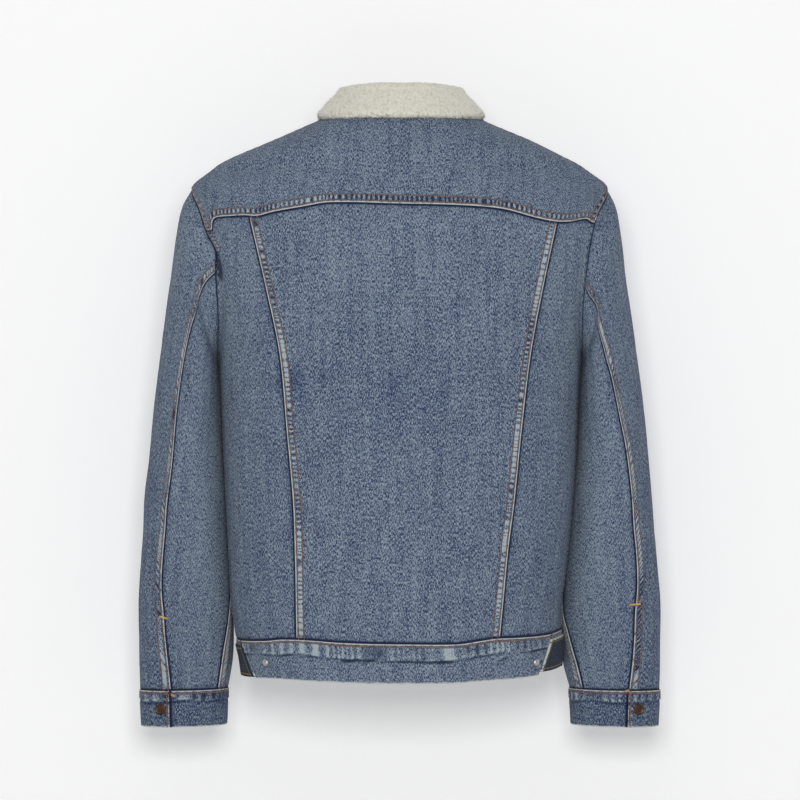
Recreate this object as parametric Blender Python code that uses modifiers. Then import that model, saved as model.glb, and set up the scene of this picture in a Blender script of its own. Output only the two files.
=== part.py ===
# Sherpa lined denim jacket, filled out as if worn, with nobody in it.
# The back faces -Y, the wearer's left arm is at -X, and +Z is up.
# The origin is the middle of the neck, level with the shoulder seams where they meet the collar.
# Tables are in millimetres and degrees; pieces are scaled to metres when they are made.

import math

import bpy
import bmesh
from mathutils import Vector

MM = 0.001

wall = 4.5            # denim with its pile lining
collarWall = 8.0      # one leaf of the folded collar, pile on both faces
bandWall = 5.0        # cuffs and waistband, denim folded double
placketWall = 3.0
seamGap = 0.4         # between the edges of two pieces that are sewn together
restGap = 0.5         # between a piece and what lies on it

neckLevel = 7.0       # height of the neck seam at the sides
shoulderLevel = -76.0
underarmLevel = -262.0
waistLevel = -582.0   # seam between the body and the waistband
hemLevel = -627.0     # lower edge of the back band
frontHemLevel = -622.0

# The body is a stack of rings. Turn 0 is the +X side, 90 the back, 180 the -X side, 270 the front.
# lift and drop tip a ring: up at the centre back, down at the centre front.
torsoColumns = ("level", "left", "right", "back", "front", "round", "lift", "drop")
torsoRows = (
    (-640, 176, 179, 131, 118, 2.5, 0, 0),
    (-627, 177, 179, 132, 119, 2.5, 0, 0),
    (-604, 180, 179, 134, 121, 2.5, 0, 0),
    (-582, 185, 180, 137, 123, 2.5, 0, 0),
    (-540, 191, 181, 140, 126, 2.5, 0, 0),
    (-500, 193, 186, 142, 128, 2.5, 0, 0),
    (-420, 197, 194, 143, 130, 2.5, 0, 0),
    (-340, 201, 198, 143, 131, 2.5, 0, 0),
    (-262, 205, 203, 141, 131, 2.5, 0, 0),
    (-215, 210, 208, 139, 130, 2.6, 0, 2),
    (-180, 217, 215, 136, 128, 2.6, 1, 5),
    (-147, 224, 222, 132, 125, 2.6, 2, 13),
    (-110, 231, 231, 127, 118, 2.5, 4, 27),
    (-76, 235, 232, 118, 109, 2.3, 8, 42),
    (-60, 217, 213, 111, 103, 2.2, 10, 47),
    (-47, 198, 193, 105, 98, 2.2, 12, 51),
    (-24, 145, 146, 93, 88, 2.1, 11, 59),
    (-2, 95, 95, 80, 79, 2.1, 9, 65),
    (7, 78, 78, 70, 73, 2.1, 7, 68),
)

# Soft folds of the body, seen from behind or in front: where each starts and ends, and its trough.
foldColumns = ("face", "fromX", "fromZ", "toX", "toZ", "width", "depth")
bodyFolds = (
    ("back", -196, -165, -178, -330, 20, 3.5),
    ("back", 196, -150, 186, -330, 20, 3.5),
    ("back", -60, -470, -170, -545, 26, 2.5),
    ("back", 70, -430, 160, -520, 26, 2.5),
    ("back", -150, -60, -60, -30, 24, 2.0),
    ("back", 150, -60, 60, -30, 24, 2.0),
    ("front", -190, -190, -110, -300, 24, 3.5),
    ("front", 190, -190, 110, -300, 24, 3.5),
    ("front", -60, -500, -160, -560, 26, 2.5),
    ("front", 60, -500, 160, -560, 26, 2.5),
)
foldFade = 60.0    # folds die out where the body is nearer than this to the side seams

# The armhole is an ellipse in the side view, pressed through the wall of the body.
armhole = {"middle": (shoulderLevel + underarmLevel) / 2, "back": 60.0, "front": 58.0}

# Sleeve rings: outermost and innermost point of each, half depths behind and in front of "across".
sleeveColumns = ("outLeft", "outRight", "outZ", "inLeft", "inRight", "inZ", "back", "front", "across")
sleeveRows = (
    (247, 243, -98, 206.5, 204.5, -269, 62, 60, 4),
    (254, 249, -131, 206, 204, -280, 66, 63, 9),
    (260, 254, -173, 204.6, 202.6, -293, 69, 65, 14),
    (267, 261, -218, 203.2, 201.2, -310, 70, 66, 20),
    (273, 267.5, -262, 201.8, 199.8, -332, 70, 66, 25),
    (280, 274.5, -315, 200.3, 198, -362, 68, 65, 29),
    (286, 281, -375, 198.5, 195.5, -400, 64, 62, 32),
    (292, 286, -432, 196.5, 191.5, -443, 60, 58, 33),
    (295, 291, -490, 194, 186.5, -495, 55, 53, 33),
    (298.5, 295, -545, 191.5, 183, -547, 50, 48, 33),
    (298, 295, -600, 190.5, 182, -600, 44, 43, 33),
    (296.5, 294, -645, 197, 192, -643, 39, 38, 33),
)
sleeveRound = 2.2

# Elbow folds of a sleeve: ring count along it, turn round it, spans of both, and depth.
sleeveFoldColumns = ("along", "turn", "spanAlong", "spanTurn", "depth")
sleeveFolds = (
    (1.6, 118, 0.5, 26, 4.0),
    (3.1, 262, 0.5, 40, 3.5),
    (5.0, 250, 0.4, 44, 4.0),
    (6.6, 240, 0.4, 46, 4.5),
    (7.9, 262, 0.4, 40, 3.5),
    (8.4, 60, 0.4, 38, 2.0),
    (10.2, 80, 0.4, 42, 2.5),
    (10.9, 250, 0.4, 46, 2.5),
)

# Turns at which the two sleeve seams leave the armhole and reach the cuff.
sleeveSeamColumns = ("along", "backSeam", "frontSeam")
sleeveSeams = (
    (0, 91, 216),
    (3, 82, 208),
    (6, 73, 199),
    (8, 66, 186),
    (10, 60, 168),
    (12, 62, 143),
)
yokeTurn = {-1: 60.0, 1: 55.0}      # place round each armhole where the yoke seam meets it
yokeColumns = 22
yokeSpread = {"level": -105.0, "right": 12.0, "left": 168.0}   # body turns that the yoke's edge spans
longSeamTop = -112.0

# Seams of the back: the two long seams that close in towards the waist, and the yoke's lower edge.
longSeamColumns = ("level", "left", "right")
longSeams = (
    (-582, -114, 108),
    (-483, -116, 117),
    (-427, -118, 124),
    (-348, -125, 132),
    (-264, -133, 142),
    (-188, -149, 156),
    (-112, -167, 172),
    (-90, -171, 176),
)
yokeEdgeColumns = ("x", "level")
yokeEdge = (
    (-210, -122),
    (-190, -113),
    (-160, -109),
    (-110, -102),
    (-70, -98),
    (0, -99),
    (60, -100),
    (110, -104),
    (150, -114),
    (180, -117),
    (210, -116),
)

cuff = {"height": 40.0, "taper": 2.25}
cuffButtonPlace = {"hand": 63.0, "share": 0.5}
backBandEnds = {-1: (-178.0, -160.0), 1: (170.0, 157.0)}   # x of each end, at the seam and at the hem
sideTab = {"drop": 8.0, "start": 3.0, "turn": 14.0, "height": 30.0, "wall": 3.0}
studPlace = {"x": 149.0, "drop": 24.0}
placket = {"halfWidth": 19.0, "top": -18.0}
frontButtonLevels = (-72, -175, -277, -379, -481, -604)

collarColumns = ("turn", "foldIn", "foldUp", "edgeOut", "edgeUp")
collarRows = (
    (0, 2, 19, 22, -12),
    (35, 7, 22, 19, -8),
    (62, 13, 24, 14, -2.5),
    (90, 20, 26, 10.2, 0.9),
    (125, 13, 23, 17.5, -6),
    (160, 5, 18, 27, -33),
)
collarFoldRadius = 5.2
collarBase = (-3.5, 1.8)
collarBelly = (0.6, 0.4)

# Turned metal pieces: radius and height down the profile, from the middle of the face to the cloth.
tackButton = ((0, 3.5), (4.6, 3.5), (5.2, 3.9), (6.8, 3.4), (7.2, 2.4), (6.6, 1.5), (2.6, 1.4), (2.6, 0), (0, 0))
cuffButton = ((0, 3.1), (4.0, 3.1), (4.6, 3.4), (6.0, 3.0), (6.4, 2.1), (5.8, 1.3), (2.2, 1.2), (2.2, 0), (0, 0))
domeStud = ((0, 2.8), (1.6, 2.6), (3.0, 2.1), (3.9, 1.3), (4.2, 0.5), (4.2, 0), (0, 0))

finishes = {
    "denim": ((0.10, 0.15, 0.24), 0.85, 0.0),
    "sherpa": ((0.75, 0.71, 0.60), 0.95, 0.0),
    "copper": ((0.13, 0.07, 0.045), 0.45, 0.9),
    "silver": ((0.62, 0.60, 0.56), 0.3, 1.0),
}


def clearScene():
    for thing in list(bpy.data.objects):
        bpy.data.objects.remove(thing)


def finish(name):
    """A Principled material for one of the jacket's finishes."""
    made = bpy.data.materials.get(name)
    if made:
        return made
    colour, roughness, metallic = finishes[name]
    made = bpy.data.materials.new(name)
    made.use_nodes = True
    shader = made.node_tree.nodes["Principled BSDF"]
    shader.inputs["Base Color"].default_value = (*colour, 1.0)
    shader.inputs["Roughness"].default_value = roughness
    shader.inputs["Metallic"].default_value = metallic
    return made


def between(start, end, share):
    return start + (end - start) * share


def readTable(columns, rows, column, at):
    """Smoothly read one column of a table whose first column is rising."""
    place = columns.index(column)
    keys = [row[0] for row in rows]
    values = [row[place] for row in rows]
    last = len(keys) - 1
    at = min(max(at, keys[0]), keys[-1])
    low = max(i for i in range(last) if keys[i] <= at)

    def slope(i):
        left, right = max(i - 1, 0), min(i + 1, last)
        return (values[right] - values[left]) / (keys[right] - keys[left])

    span = keys[low + 1] - keys[low]
    share = (at - keys[low]) / span
    square, cube = share ** 2, share ** 3
    return (
        (2 * cube - 3 * square + 1) * values[low]
        + (cube - 2 * square + share) * span * slope(low)
        + (3 * square - 2 * cube) * values[low + 1]
        + (cube - square) * span * slope(low + 1)
    )


def rounded(value, power):
    return math.copysign(abs(value) ** (2 / power), value)


def torso(column, level):
    return readTable(torsoColumns, torsoRows, column, level)


def plainBodyPoint(level, turn):
    """A point of the body's outer face before its folds are pressed in."""
    cosine, sine = math.cos(math.radians(turn)), math.sin(math.radians(turn))
    power = torso("round", level)
    half = torso("right" if cosine > 0 else "left", level)
    deep = torso("back" if sine > 0 else "front", level)
    tip = torso("lift", level) * max(sine, 0) ** 3 - torso("drop", level) * max(-sine, 0) ** 3
    return Vector((half * rounded(cosine, power), -deep * rounded(sine, power), level + tip))


def foldDepth(face, spot):
    """How far the folds push a point of the back or front inwards."""
    depth = 0.0
    for row in bodyFolds:
        fold = dict(zip(foldColumns, row))
        if fold["face"] != face:
            continue
        start, end = Vector((fold["fromX"], fold["fromZ"])), Vector((fold["toX"], fold["toZ"]))
        run, off = end - start, Vector((spot.x, spot.z)) - start
        nearest = min(max(off.dot(run) / run.length_squared, 0.0), 1.0)
        distance = (off - run * nearest).length
        middling = math.sin(math.pi * between(0.2, 0.8, nearest))
        depth += fold["depth"] * math.exp(-((distance / fold["width"]) ** 2)) * middling
    return depth


def bodyPoint(level, turn):
    spot = plainBodyPoint(level, turn)
    sine = math.sin(math.radians(turn))
    fade = min(abs(spot.y) / foldFade, 1.0) ** 2
    spot.y += math.copysign(foldDepth("back" if sine > 0 else "front", spot) * fade, sine)
    return spot


def bodyNormal(level, turn):
    """Outward direction of the body's face."""
    step = 1.5
    along = bodyPoint(level + step, turn) - bodyPoint(level - step, turn)
    round_ = bodyPoint(level, turn + step) - bodyPoint(level, turn - step)
    facing = along.cross(round_).normalized()
    spot = bodyPoint(level, turn)
    outward = Vector((spot.x, spot.y, 20.0))   # leans up, for the shoulders
    return facing if facing.dot(outward) > 0 else -facing


def turnAtX(level, x, behind=True):
    """The turn at which a ring of the body reaches an x, at the back or the front."""
    half = torso("right" if x > 0 else "left", level)
    cosine = math.copysign(min(abs(x) / half, 1.0) ** (torso("round", level) / 2), x)
    turn = math.degrees(math.acos(cosine))
    return turn if behind else -turn


def armholeTurn(side, hand):
    """Level and body turn of a point round an armhole: hand 0 is its top, 90 the back, 180 the underarm."""
    reach = (underarmLevel - shoulderLevel) / -2
    level = armhole["middle"] + reach * math.cos(math.radians(hand))
    sine = math.sin(math.radians(hand))
    deep = armhole["back" if sine > 0 else "front"] * abs(sine)
    share = (deep / torso("back" if sine > 0 else "front", level)) ** (torso("round", level) / 2)
    turn = math.degrees(math.asin(min(share, 1.0)))
    turn = turn if side > 0 else 180 - turn
    return level, turn if sine > 0 else -turn


def armholePoint(side, hand):
    return bodyPoint(*armholeTurn(side, hand))


def armholeInward(hand):
    """Direction of the cut edge at the armhole, towards the middle of the arm."""
    angle = math.radians(hand)
    reach = (shoulderLevel - underarmLevel) / 2
    deep = armhole["back" if math.sin(angle) > 0 else "front"]
    return Vector((0, math.sin(angle) / deep, -math.cos(angle) / reach)).normalized()


def handsOf(side):
    """Places round the armhole that the body and the sleeve share."""
    corners = (
        (0, yokeTurn[side], 5),
        (yokeTurn[side], 91, 3),
        (91, 180, 8),
        (180, 216, 3),
        (216, 360, 12),
    )
    hands = [between(start, end, i / steps) for start, end, steps in corners for i in range(steps)]
    return hands + [360.0]


def sleeveRing(side, ring, hand):
    """A point of one of the sleeve's rings; ring 0 is the armhole itself."""
    if ring == 0:
        return armholePoint(side, hand)
    row = dict(zip(sleeveColumns, sleeveRows[ring - 1]))
    outX, inX = (row["outRight"], row["inRight"]) if side > 0 else (row["outLeft"], row["inLeft"])
    outer = Vector((side * outX, row["across"], row["outZ"]))
    inner = Vector((side * inX, row["across"], row["inZ"]))
    angle = math.radians(hand)
    deep = row["back" if math.sin(angle) > 0 else "front"]
    reach = (outer - inner) / 2 * rounded(math.cos(angle), sleeveRound)
    return (outer + inner) / 2 + reach - Vector((0, deep * rounded(math.sin(angle), sleeveRound), 0))


def plainSleevePoint(side, along, hand):
    """A point on the smooth skin through the sleeve's rings."""
    last = len(sleeveRows)
    low = min(int(along), last - 1)
    share = along - low
    spots = [sleeveRing(side, min(max(low + i, 0), last), hand) for i in (-1, 0, 1, 2)]
    before, start, end, after = spots
    if low == 0:
        before = start * 2 - end
    if low + 2 > last:
        after = end * 2 - start
    return 0.5 * (
        2 * start
        + (end - before) * share
        + (2 * before - 5 * start + 4 * end - after) * share ** 2
        + (3 * start - before - 3 * end + after) * share ** 3
    )


def sleeveMiddle(side, along):
    return sum((plainSleevePoint(side, along, hand) for hand in (0, 90, 180, 270)), Vector()) / 4


def sleevePoint(side, along, hand):
    spot = plainSleevePoint(side, along, hand)
    depth = 0.0
    for row in sleeveFolds:
        fold = dict(zip(sleeveFoldColumns, row))
        aside = ((hand - fold["turn"] + 180) % 360 - 180) / fold["spanTurn"]
        beyond = (along - fold["along"]) / fold["spanAlong"]
        depth += fold["depth"] * math.exp(-(beyond ** 2) - aside ** 2)
    inwards = (sleeveMiddle(side, along) - spot).normalized()
    return spot + inwards * depth * min(along, 1.0)


def sleeveNormal(side, along, hand):
    step = 0.08
    low, high = max(along - step, 0.0), min(along + step, len(sleeveRows))
    down = sleevePoint(side, high, hand) - sleevePoint(side, low, hand)
    across = sleevePoint(side, along, hand + 3) - sleevePoint(side, along, hand - 3)
    facing = down.cross(across).normalized()
    return facing if facing.dot(sleevePoint(side, along, hand) - sleeveMiddle(side, along)) > 0 else -facing


def addMesh(name, spots, faces, material):
    """A closed, outward facing piece in metres, named and coloured."""
    mesh = bpy.data.meshes.new(name)
    mesh.from_pydata([spot * MM for spot in spots], [], faces)
    shape = bmesh.new()
    shape.from_mesh(mesh)
    bmesh.ops.triangulate(shape, faces=shape.faces)
    bmesh.ops.recalc_face_normals(shape, faces=shape.faces)
    shape.to_mesh(mesh)
    shape.free()
    mesh.materials.append(finish(material))
    mesh.shade_smooth()
    mesh.set_sharp_from_angle(angle=math.radians(40))
    piece = bpy.data.objects.new(name, mesh)
    bpy.data.collections["sherpa_lined_jacket"].objects.link(piece)
    return piece


def clothWall(name, outer, inner, material, ring=False):
    """Cloth between an outer and an inner grid of points; a ring joins its first and last columns."""
    rows, columns = len(outer), len(outer[0])
    spots = [spot for grid in (outer, inner) for row in grid for spot in row]
    layer = rows * columns
    across = columns if ring else columns - 1
    faces = []
    for row in range(rows - 1):
        for column in range(across):
            beside = (column + 1) % columns
            corners = (
                row * columns + column,
                row * columns + beside,
                (row + 1) * columns + beside,
                (row + 1) * columns + column,
            )
            faces.append(corners)
            faces.append(tuple(layer + corner for corner in reversed(corners)))
    rims = [(row * columns + c, row * columns + (c + 1) % columns) for row in (0, rows - 1) for c in range(across)]
    if not ring:
        rims += [(r * columns + c, (r + 1) * columns + c) for c in (0, columns - 1) for r in range(rows - 1)]
    faces += [(a, b, layer + b, layer + a) for a, b in rims]
    return addMesh(name, spots, faces, material)


def easeEdges(outer, inner):
    """Draw the edges of a panel back from its seams by half the seam's gap."""
    last, end = len(outer) - 1, len(outer[0]) - 1
    old = [row[:] for row in outer]
    for row in range(last + 1):
        for column in range(end + 1):
            move = Vector()
            if row in (0, last):
                beyond = old[1 if row == 0 else last - 1][column]
                move += (beyond - old[row][column]).normalized()
            if column in (0, end):
                beyond = old[row][1 if column == 0 else end - 1]
                move += (beyond - old[row][column]).normalized()
            outer[row][column] = outer[row][column] + move * seamGap / 2
            inner[row][column] = inner[row][column] + move * seamGap / 2


def bodyPanel(name, places, armholeEdges=(), thickness=wall, rise=0.0):
    """A panel of the body from a grid of (level, turn) places.

    armholeEdges lists (column, side, {row: hand}) for edges that are cut by an armhole.
    """
    outer, inner = [], []
    for row in places:
        facing = [bodyNormal(*place) for place in row]
        outer.append([bodyPoint(*place) + out * rise for place, out in zip(row, facing)])
        inner.append([spot - out * thickness for spot, out in zip(outer[-1], facing)])
    easeEdges(outer, inner)
    for column, side, hands in armholeEdges:
        cutRows = sorted(hands)
        for row in cutRows:
            edge = armholePoint(side, hands[row]) - Vector((side * seamGap / 2, 0, 0))
            outer[row][column] = edge
            inner[row][column] = edge + armholeInward(hands[row]) * thickness
        for row, beside in ((cutRows[0], cutRows[1]), (cutRows[-1], cutRows[-2])):
            aside = (outer[beside][column] - outer[row][column]).normalized() * seamGap / 2
            outer[row][column] = outer[row][column] + aside
            inner[row][column] = inner[row][column] + aside
    return clothWall(name, outer, inner, "denim")


def yokeLevel(share):
    """Level of the yoke's lower edge, at a share of the way from the right armhole to the left one."""
    x = plainBodyPoint(yokeSpread["level"], between(yokeSpread["right"], yokeSpread["left"], share)).x
    return readTable(yokeEdgeColumns, yokeEdge, "level", x)


def longSeamX(side, level):
    return readTable(longSeamColumns, longSeams, "right" if side > 0 else "left", level)


def levelSteps(start, end, steps):
    return [between(start, end, i / steps) for i in range(steps + 1)]


def makeYoke():
    """Back yoke: from the neck over the shoulders to the seam across the back."""
    columns = yokeColumns
    shoulderRows = levelSteps(neckLevel, shoulderLevel, 6)
    hands = {side: [hand for hand in handsOf(side) if 0 < hand <= yokeTurn[side] + 0.01] for side in (-1, 1)}
    ends = {side: armholeTurn(side, yokeTurn[side])[0] for side in (-1, 1)}
    places = []
    edges = {-1: {}, 1: {}}
    for row in range(len(shoulderRows) + len(hands[1])):
        edge = {}
        for side in (-1, 1):
            if row < len(shoulderRows):
                edge[side] = (shoulderRows[row], 0.0 if side > 0 else 180.0)
                if row == len(shoulderRows) - 1:
                    edges[side][row] = 0.0
            else:
                hand = hands[side][row - len(shoulderRows)]
                edge[side] = armholeTurn(side, hand)
                edges[side][row] = hand
        line = []
        for column in range(columns + 1):
            share = column / columns
            turn = between(edge[1][1], edge[-1][1], share)
            down = between(
                (neckLevel - edge[1][0]) / (neckLevel - ends[1]),
                (neckLevel - edge[-1][0]) / (neckLevel - ends[-1]),
                share,
            )
            bottom = yokeLevel(share)
            if column in (0, columns):
                bottom = ends[1 if column == 0 else -1]
            line.append((between(neckLevel, bottom, down), turn))
        places.append(line)
    return bodyPanel("yoke_back", places, [(0, 1, edges[1]), (columns, -1, edges[-1])])


def yokeSeamPlace(share):
    """Level and turn along the yoke's lower edge, from the right armhole to the left one."""
    right, left = armholeTurn(1, yokeTurn[1]), armholeTurn(-1, yokeTurn[-1])
    if share <= 0:
        return right
    if share >= 1:
        return left
    return yokeLevel(share), between(right[1], left[1], share)


def shareAtX(x):
    """Share along the yoke's lower edge at which it reaches an x."""
    low, high = 0.0, 1.0
    for _ in range(40):
        middle = (low + high) / 2
        if plainBodyPoint(*yokeSeamPlace(middle)).x > x:
            low = middle
        else:
            high = middle
    return (low + high) / 2


def seamShare(side):
    """Share along the yoke at which a long seam meets it, on one of the yoke's own columns."""
    return round(shareAtX(longSeamX(side, longSeamTop)) * yokeColumns) / yokeColumns


def longSeamPlace(side, share):
    """Level and turn along one of the long back seams, from the yoke down to the waistband."""
    top = yokeSeamPlace(seamShare(side))
    level = between(top[0], waistLevel, share)
    shift = top[1] - turnAtX(top[0], longSeamX(side, top[0]))
    return level, turnAtX(level, longSeamX(side, level)) + shift * (1 - share) ** 3


def makeBackCentre():
    rows = 18
    shares = seamShare(1), seamShare(-1)
    columns = round((shares[1] - shares[0]) * yokeColumns)
    places = []
    for row in range(rows + 1):
        share = row / rows
        right, left = longSeamPlace(1, share), longSeamPlace(-1, share)
        line = []
        for column in range(columns + 1):
            part = column / columns
            top = yokeSeamPlace(between(*shares, part))[0]
            line.append((between(top, waistLevel, share), between(right[1], left[1], part)))
        places.append(line)
    return bodyPanel("back_centre", places)


def makeBackSide(side):
    """Side of the back: from the long seam to the armhole and the side seam."""
    outside = 0.0 if side > 0 else 1.0
    columns = round(abs(outside - seamShare(side)) * yokeColumns)
    hands = [hand for hand in handsOf(side) if yokeTurn[side] - 0.01 <= hand <= 180]
    edges = [armholeTurn(side, hand) for hand in hands]
    sideTurn = 0.0 if side > 0 else 180.0
    edges += [(level, sideTurn) for level in levelSteps(underarmLevel, waistLevel, 12)[1:]]
    start, seamTop = edges[0][0], seamShare(side)
    places = []
    for level, turn in edges:
        share = (level - start) / (waistLevel - start)
        seam = longSeamPlace(side, share)
        line = []
        for column in range(columns + 1):
            part = column / columns
            top = yokeSeamPlace(between(outside, seamTop, part))[0]
            line.append((between(top, waistLevel, share), between(turn, seam[1], part)))
        places.append(line)
    places[0] = [yokeSeamPlace(between(outside, seamTop, c / columns)) for c in range(columns + 1)]
    name = "back_side_right" if side > 0 else "back_side_left"
    return bodyPanel(name, places, [(0, side, dict(enumerate(hands)))])


def makeFront(side):
    """Front: from the shoulder seam, armhole and side seam to the middle of the chest."""
    columns = 8
    sideTurn = 0.0 if side > 0 else -180.0
    shoulder = [(level, sideTurn) for level in levelSteps(neckLevel, shoulderLevel, 6)]
    hands = [hand for hand in reversed(handsOf(side)) if 180 <= hand < 360]
    edges = shoulder + [armholeTurn(side, hand) for hand in hands if hand > 180] + [(underarmLevel, sideTurn)]
    edges += [(level, sideTurn) for level in levelSteps(underarmLevel, waistLevel, 12)[1:]]
    cut = {len(shoulder) - 1: 360.0}
    cut.update({len(shoulder) + i: hand for i, hand in enumerate(hands)})
    places = []
    for level, turn in edges:
        places.append([(level, between(turn, -90.0, column / columns)) for column in range(columns + 1)])
    return bodyPanel("front_right" if side > 0 else "front_left", places, [(0, side, cut)])


def makeSleevePanel(side, upper):
    """Top or under sleeve, between the two sleeve seams."""
    everyHand = handsOf(side)
    backStart, frontStart = sleeveSeams[0][1], sleeveSeams[0][2]
    if upper:
        hands = [hand - 360 for hand in everyHand if hand >= frontStart - 0.01]
        hands += [hand for hand in everyHand if 0 < hand <= backStart + 0.01]
    else:
        hands = [hand for hand in everyHand if backStart - 0.01 <= hand <= frontStart + 0.01]
    shares = [(hand - hands[0]) / (hands[-1] - hands[0]) for hand in hands]
    steps = [0, 0.5] + list(range(1, len(sleeveRows) + 1))
    outer, inner = [], []
    for along in steps:
        back = readTable(sleeveSeamColumns, sleeveSeams, "backSeam", along)
        front = readTable(sleeveSeamColumns, sleeveSeams, "frontSeam", along)
        start, end = (front - 360, back) if upper else (back, front)
        row, under = [], []
        for hand, share in zip(hands, shares):
            here = between(start, end, share)
            spot = sleevePoint(side, along, here)
            row.append(spot)
            under.append(spot - sleeveNormal(side, along, here) * wall)
        outer.append(row)
        inner.append(under)
    easeEdges(outer, inner)
    for column, hand in enumerate(hands):
        edge = armholePoint(side, hand) + Vector((side * seamGap / 2, 0, 0))
        outer[0][column] = edge
        inner[0][column] = edge + armholeInward(hand) * wall
    for column, beside in ((0, 1), (len(hands) - 1, len(hands) - 2)):
        aside = (outer[0][beside] - outer[0][column]).normalized() * seamGap / 2
        outer[0][column] = outer[0][column] + aside
        inner[0][column] = inner[0][column] + aside
    name = ("sleeve_top_" if upper else "sleeve_under_") + ("right" if side > 0 else "left")
    return clothWall(name, outer, inner, "denim")


def cuffPoint(side, share, hand):
    """A point of the cuff's outer face, from its seam (0) to its edge (1)."""
    last = len(sleeveRows)
    top = sleevePoint(side, last, hand)
    middle = sleeveMiddle(side, last)
    inwards = (middle - top).normalized()
    return top + inwards * cuff["taper"] * share + Vector((0, 0, -cuff["height"] * share))


def cuffNormal(side, share, hand):
    across = cuffPoint(side, share, hand + 3) - cuffPoint(side, share, hand - 3)
    facing = across.cross(Vector((0, 0, 1))).normalized()
    outward = cuffPoint(side, share, hand) - sleeveMiddle(side, len(sleeveRows))
    return facing if facing.dot(outward) > 0 else -facing


def makeCuff(side):
    columns = 28
    outer, inner = [], []
    for share in (seamGap / cuff["height"], 0.33, 0.66, 1.0):
        row, under = [], []
        for column in range(columns):
            spot = cuffPoint(side, share, column * 360 / columns)
            middle = sleeveMiddle(side, len(sleeveRows)) + Vector((0, 0, -cuff["height"] * share))
            flat = Vector((middle.x - spot.x, middle.y - spot.y, 0)).normalized()
            row.append(spot)
            under.append(spot + flat * bandWall)
        outer.append(row)
        inner.append(under)
    return clothWall("cuff_right" if side > 0 else "cuff_left", outer, inner, "denim", ring=True)


def bandRows(endX, hem):
    """Levels of the waistband's rows, each with the x of its end."""
    levels = levelSteps(waistLevel - seamGap / 2, hem, 3)
    return [(level, between(*endX, (level - waistLevel) / (hemLevel - waistLevel))) for level in levels]


def makeWaistbandBack():
    columns = 18
    places = []
    for (level, right), (_, left) in zip(bandRows(backBandEnds[1], hemLevel), bandRows(backBandEnds[-1], hemLevel)):
        ends = turnAtX(level, right), turnAtX(level, left)
        places.append([(level, between(*ends, column / columns)) for column in range(columns + 1)])
    return bodyPanel("waistband_back", places, thickness=bandWall)


def makeWaistbandFront(side):
    """The rest of the waistband, from the back band's slanting end round to the centre front."""
    columns = 14
    places = []
    for level, end in bandRows(backBandEnds[side], frontHemLevel):
        start = turnAtX(level, end)
        stop = -90.0 if side > 0 else 270.0
        places.append([(level, between(start, stop, column / columns)) for column in range(columns + 1)])
    name = "waistband_front_right" if side > 0 else "waistband_front_left"
    return bodyPanel(name, places, thickness=bandWall)


def makeSideTab(side):
    """Short strap that lies on the waistband beside the back band's end."""
    columns = 5
    places = []
    for level in levelSteps(waistLevel - sideTab["drop"], waistLevel - sideTab["drop"] - sideTab["height"], 3):
        start = turnAtX(level, between(*backBandEnds[side], 0.5) + side * sideTab["start"])
        stop = -sideTab["turn"] if side > 0 else 180 + sideTab["turn"]
        places.append([(level, between(start, stop, column / columns)) for column in range(columns + 1)])
    name = "side_tab_right" if side > 0 else "side_tab_left"
    return bodyPanel(name, places, thickness=sideTab["wall"], rise=sideTab["wall"] + restGap)


def makePlacket():
    """Button band down the middle of the front, lying on both fronts and the waistband."""
    columns = 4
    places = []
    for level in levelSteps(placket["top"], frontHemLevel, 26):
        ends = (turnAtX(level, placket["halfWidth"], False), turnAtX(level, -placket["halfWidth"], False))
        places.append([(level, between(*ends, column / columns)) for column in range(columns + 1)])
    return bodyPanel("front_placket", places, thickness=placketWall, rise=placketWall + restGap)


def collarSection(turn):
    """The folded collar cut across, as (outward, up) points from the neck seam at that turn."""
    foldIn, foldUp, edgeOut, edgeUp = (readTable(collarColumns, collarRows, c, turn) for c in collarColumns[1:])
    crown = Vector((collarFoldRadius - foldIn, foldUp - collarFoldRadius))
    fallTop = crown + Vector((collarFoldRadius, 0))
    base, edge = Vector(collarBase), Vector((edgeOut, edgeUp))
    middle = [base, between(base, crown - Vector((collarFoldRadius, 0)), 0.5)]
    for step in range(5):
        angle = math.radians(180 - 45 * step)
        middle.append(crown + Vector((math.cos(angle), math.sin(angle))) * collarFoldRadius)
    belly = between(fallTop, edge, 0.5) + Vector(collarBelly)
    middle += [belly, edge]
    left, right = [], []
    for i, spot in enumerate(middle):
        run = (middle[min(i + 1, len(middle) - 1)] - middle[max(i - 1, 0)]).normalized()
        aside = Vector((-run.y, run.x)) * collarWall / 2
        left.append(spot + aside)
        right.append(spot - aside)
    return left + right[::-1]


def makeCollar():
    stations = 30
    reach = collarRows[-1][0]
    rings = []
    for station in range(stations + 1):
        turn = between(-reach, reach, station / stations)
        place = (neckLevel, 90 + turn)
        seam = plainBodyPoint(*place)
        tangent = plainBodyPoint(neckLevel, 92 + turn) - plainBodyPoint(neckLevel, 88 + turn)
        outward = Vector((-tangent.y, tangent.x, 0)).normalized()
        if outward.dot(Vector((seam.x, seam.y, 0))) < 0:
            outward = -outward
        rings.append([seam + outward * out + Vector((0, 0, up)) for out, up in collarSection(abs(turn))])
    count = len(rings[0])
    spots = [spot for ring in rings for spot in ring]
    faces = []
    for station in range(stations):
        for i in range(count):
            beside = (i + 1) % count
            low, high = station * count, (station + 1) * count
            faces.append((low + i, low + beside, high + beside, high + i))
    half = count // 2
    for start in (0, stations * count):
        for i in range(half - 1):
            faces.append((start + i, start + i + 1, start + count - 2 - i, start + count - 1 - i))
    return addMesh("collar", spots, faces, "sherpa")


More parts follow.
